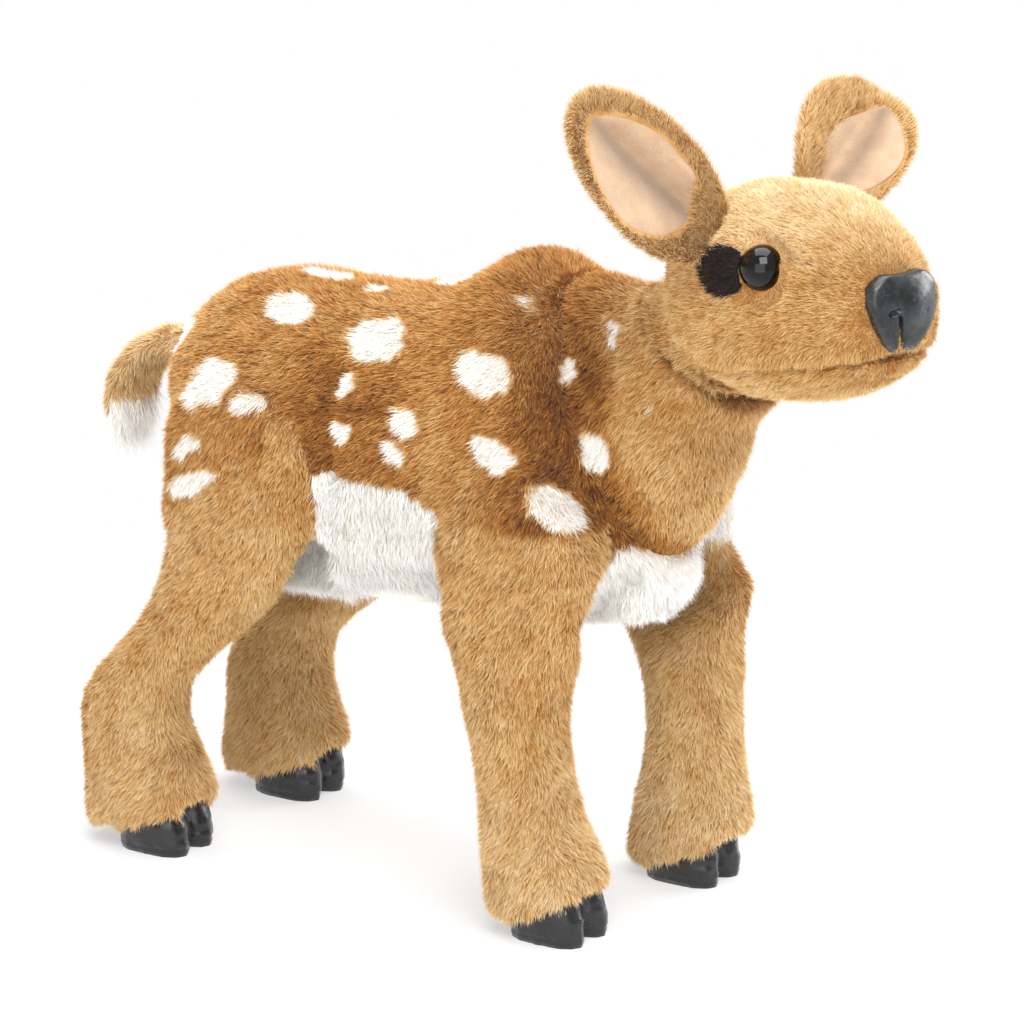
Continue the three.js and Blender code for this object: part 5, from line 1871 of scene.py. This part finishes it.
@dataclass
class HandPocket:
    """The cloth sleeve that the hand goes into, and its hem."""

    tuck_from: float = 128 * MM
    tuck_share: float = 0.62

    def _tuck(self, points: Points, normals: Points) -> Points:
        """How far the sleeve's mouth is tucked up into the belly's pile."""
        low = np.maximum(self.tuck_from - points[:, 2], 0)
        return rows_of(0.0, 0.0, self.tuck_share * low)

    def build(self) -> None:
        """Builds the sleeve and the hem."""
        cloth = ClothFinish("sleeve_cloth", (186, 150, 104), (160, 124, 82)).material()
        hem = ClothFinish("hem_cloth", (244, 241, 234), (226, 221, 212), nap=1.2 * MM).material()
        for node, material, slot in (
            ("hand_sleeve", cloth, "lining"),
            ("sleeve_hem", hem, "white_plush"),
        ):
            form = FusedForm([node], 1.1 * MM, 2)
            form.draw(self._tuck)
            form.shape(lambda points, normals: 0.15 * MM * cloud(points, 11 * MM, 81))
            piece = show(node + "_cloth", form.part(node).mesh(node), material)
            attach(piece, "torso")
            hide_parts(node)


@dataclass
class Studio:
    """A pale floor, soft lamps and the camera of the photograph."""

    target: tuple[float, float, float] = (48.888 * MM, 31.082 * MM, 138.77 * MM)
    azimuth: float = -56.0
    elevation: float = 15.0
    distance: float = 2.0
    lens: float = 170.2

    def camera(self) -> None:
        """Places the camera."""
        a, e = math.radians(self.azimuth), math.radians(self.elevation)
        back = Vector((math.sin(a) * math.cos(e), -math.cos(a) * math.cos(e), math.sin(e)))
        data = bpy.data.cameras.new("camera")
        data.lens, data.sensor_width = self.lens, 36.0
        data.clip_start, data.clip_end = 0.05, 50.0
        view = bpy.data.objects.new("camera", data)
        view.location = Vector(self.target) + back * self.distance
        view.rotation_mode = "QUATERNION"
        view.rotation_quaternion = (-back).to_track_quat("-Z", "Y")
        bpy.context.scene.collection.objects.link(view)
        bpy.context.scene.camera = view

    def floor(self) -> None:
        """Lays the floor, which shows near white and keeps the fawn's shadow."""
        r = Recipe("floor_paper")
        speckle = r.noise(0.4, 2.0)
        ramp = {"stops": [(0.0, (0.90, 0.90, 0.90, 1)), (1.0, (0.93, 0.93, 0.93, 1))]}
        paper = r.node("ShaderNodeValToRGB", ramp, {0: speckle}, "Color")
        lit = r.node("ShaderNodeBsdfDiffuse", {}, {"Color": paper})
        glow = r.node("ShaderNodeEmission", {}, {"Color": (1, 1, 1, 1), "Strength": 1.0})
        seen = r.node("ShaderNodeLightPath", {}, {}, "Is Camera Ray")
        mirrored = r.node("ShaderNodeLightPath", {}, {}, "Is Glossy Ray")
        away = r.node("ShaderNodeVectorMath", {"operation": "LENGTH"}, {0: r.place()}, "Value")
        clear = r.node("ShaderNodeMapRange", {}, {0: away, 1: 0.2, 2: 0.55, 3: 0.5, 4: 1.0})
        share = clear * r.node("ShaderNodeMath", {"operation": "MAXIMUM"}, {0: seen, 1: mirrored})
        r.node_out(r.node("ShaderNodeMixShader", {}, {0: share, 1: lit, 2: glow}))
        mesh = bpy.data.meshes.new("floor")
        reach = 6.0
        corners = [(-reach, -reach, 0), (reach, -reach, 0), (reach, reach, 0), (-reach, reach, 0)]
        mesh.from_pydata(corners, [], [(0, 1, 2, 3)])
        show("floor", mesh, r.material)

    def lamps(self) -> None:
        """Hangs the lamps and sets the plain white surround."""
        for name, place, size, power in (
            ("key", (-0.9, -0.75, 1.5), 1.0, 20.5),
            ("fill", (-1.5, -0.6, 0.45), 1.4, 9.5),
            ("top", (0.25, 0.1, 1.9), 1.6, 28.0),
            ("rim", (1.3, -0.8, 0.75), 0.9, 16.0),
        ):
            data = bpy.data.lights.new(name, "AREA")
            data.shape, data.size, data.energy = "SQUARE", size, power
            lamp = bpy.data.objects.new(name, data)
            lamp.location = place
            lamp.rotation_mode = "QUATERNION"
            lamp.rotation_quaternion = (Vector((0, 0, 0.15)) - lamp.location).to_track_quat("-Z", "Y")
            bpy.context.scene.collection.objects.link(lamp)
        world = bpy.data.worlds.new("surround")
        bpy.context.scene.world = world
        world.use_nodes = True
        tree = world.node_tree
        tree.nodes.clear()
        path = tree.nodes.new("ShaderNodeLightPath")
        shown = tree.nodes.new("ShaderNodeMath")
        shown.operation = "MAXIMUM"
        tree.links.new(path.outputs["Is Camera Ray"], shown.inputs[0])
        tree.links.new(path.outputs["Is Transmission Ray"], shown.inputs[1])
        level = tree.nodes.new("ShaderNodeMapRange")
        level.inputs["To Min"].default_value = 0.62
        level.inputs["To Max"].default_value = 1.0
        tree.links.new(shown.outputs[0], level.inputs["Value"])
        sky = tree.nodes.new("ShaderNodeBackground")
        sky.inputs["Color"].default_value = (1, 1, 1, 1)
        tree.links.new(level.outputs["Result"], sky.inputs["Strength"])
        out = tree.nodes.new("ShaderNodeOutputWorld")
        tree.links.new(sky.outputs[0], out.inputs["Surface"])


EARS = (
    EarShape(
        Side.RIGHT, up=(-0.59, 0.42, 0.72), face=(-0.42, -0.78, 0.42), roll=0.75, length=68 * MM,
        outer_width=33.5 * MM, lining_wide=0.81, lining_shift=-0.11,
    ),
    EarShape(
        Side.LEFT, up=(0.806, 0.022, 0.512), face=(-0.33, -0.54, 0.77), roll=1.1, length=63 * MM,
        inner_width=26 * MM, outer_width=24 * MM, foot=(-1.5, 2.5, 0.0), lining_wide=0.66, lining_shift=-0.27,
    ),
)


def main() -> None:
    """Builds the fawn and its studio."""
    logging.basicConfig(level=logging.INFO, format="%(message)s")
    bpy.context.scene.view_settings.view_transform = "Standard"
    studio = Studio()
    studio.camera()
    studio.floor()
    studio.lamps()
    shop = Workshop()
    neck = Neck(shop)
    ears = [Ear(shop, shape) for shape in EARS]
    for part in (neck, Trunk(shop, neck), Head(shop, neck), *ears, Tail(shop), Hooves(), HandPocket()):
        part.build()
        log.info("%s built", type(part).__name__)
    log.info("%d strands in all", shop.strands)


if __name__ == "__main__":
    main()
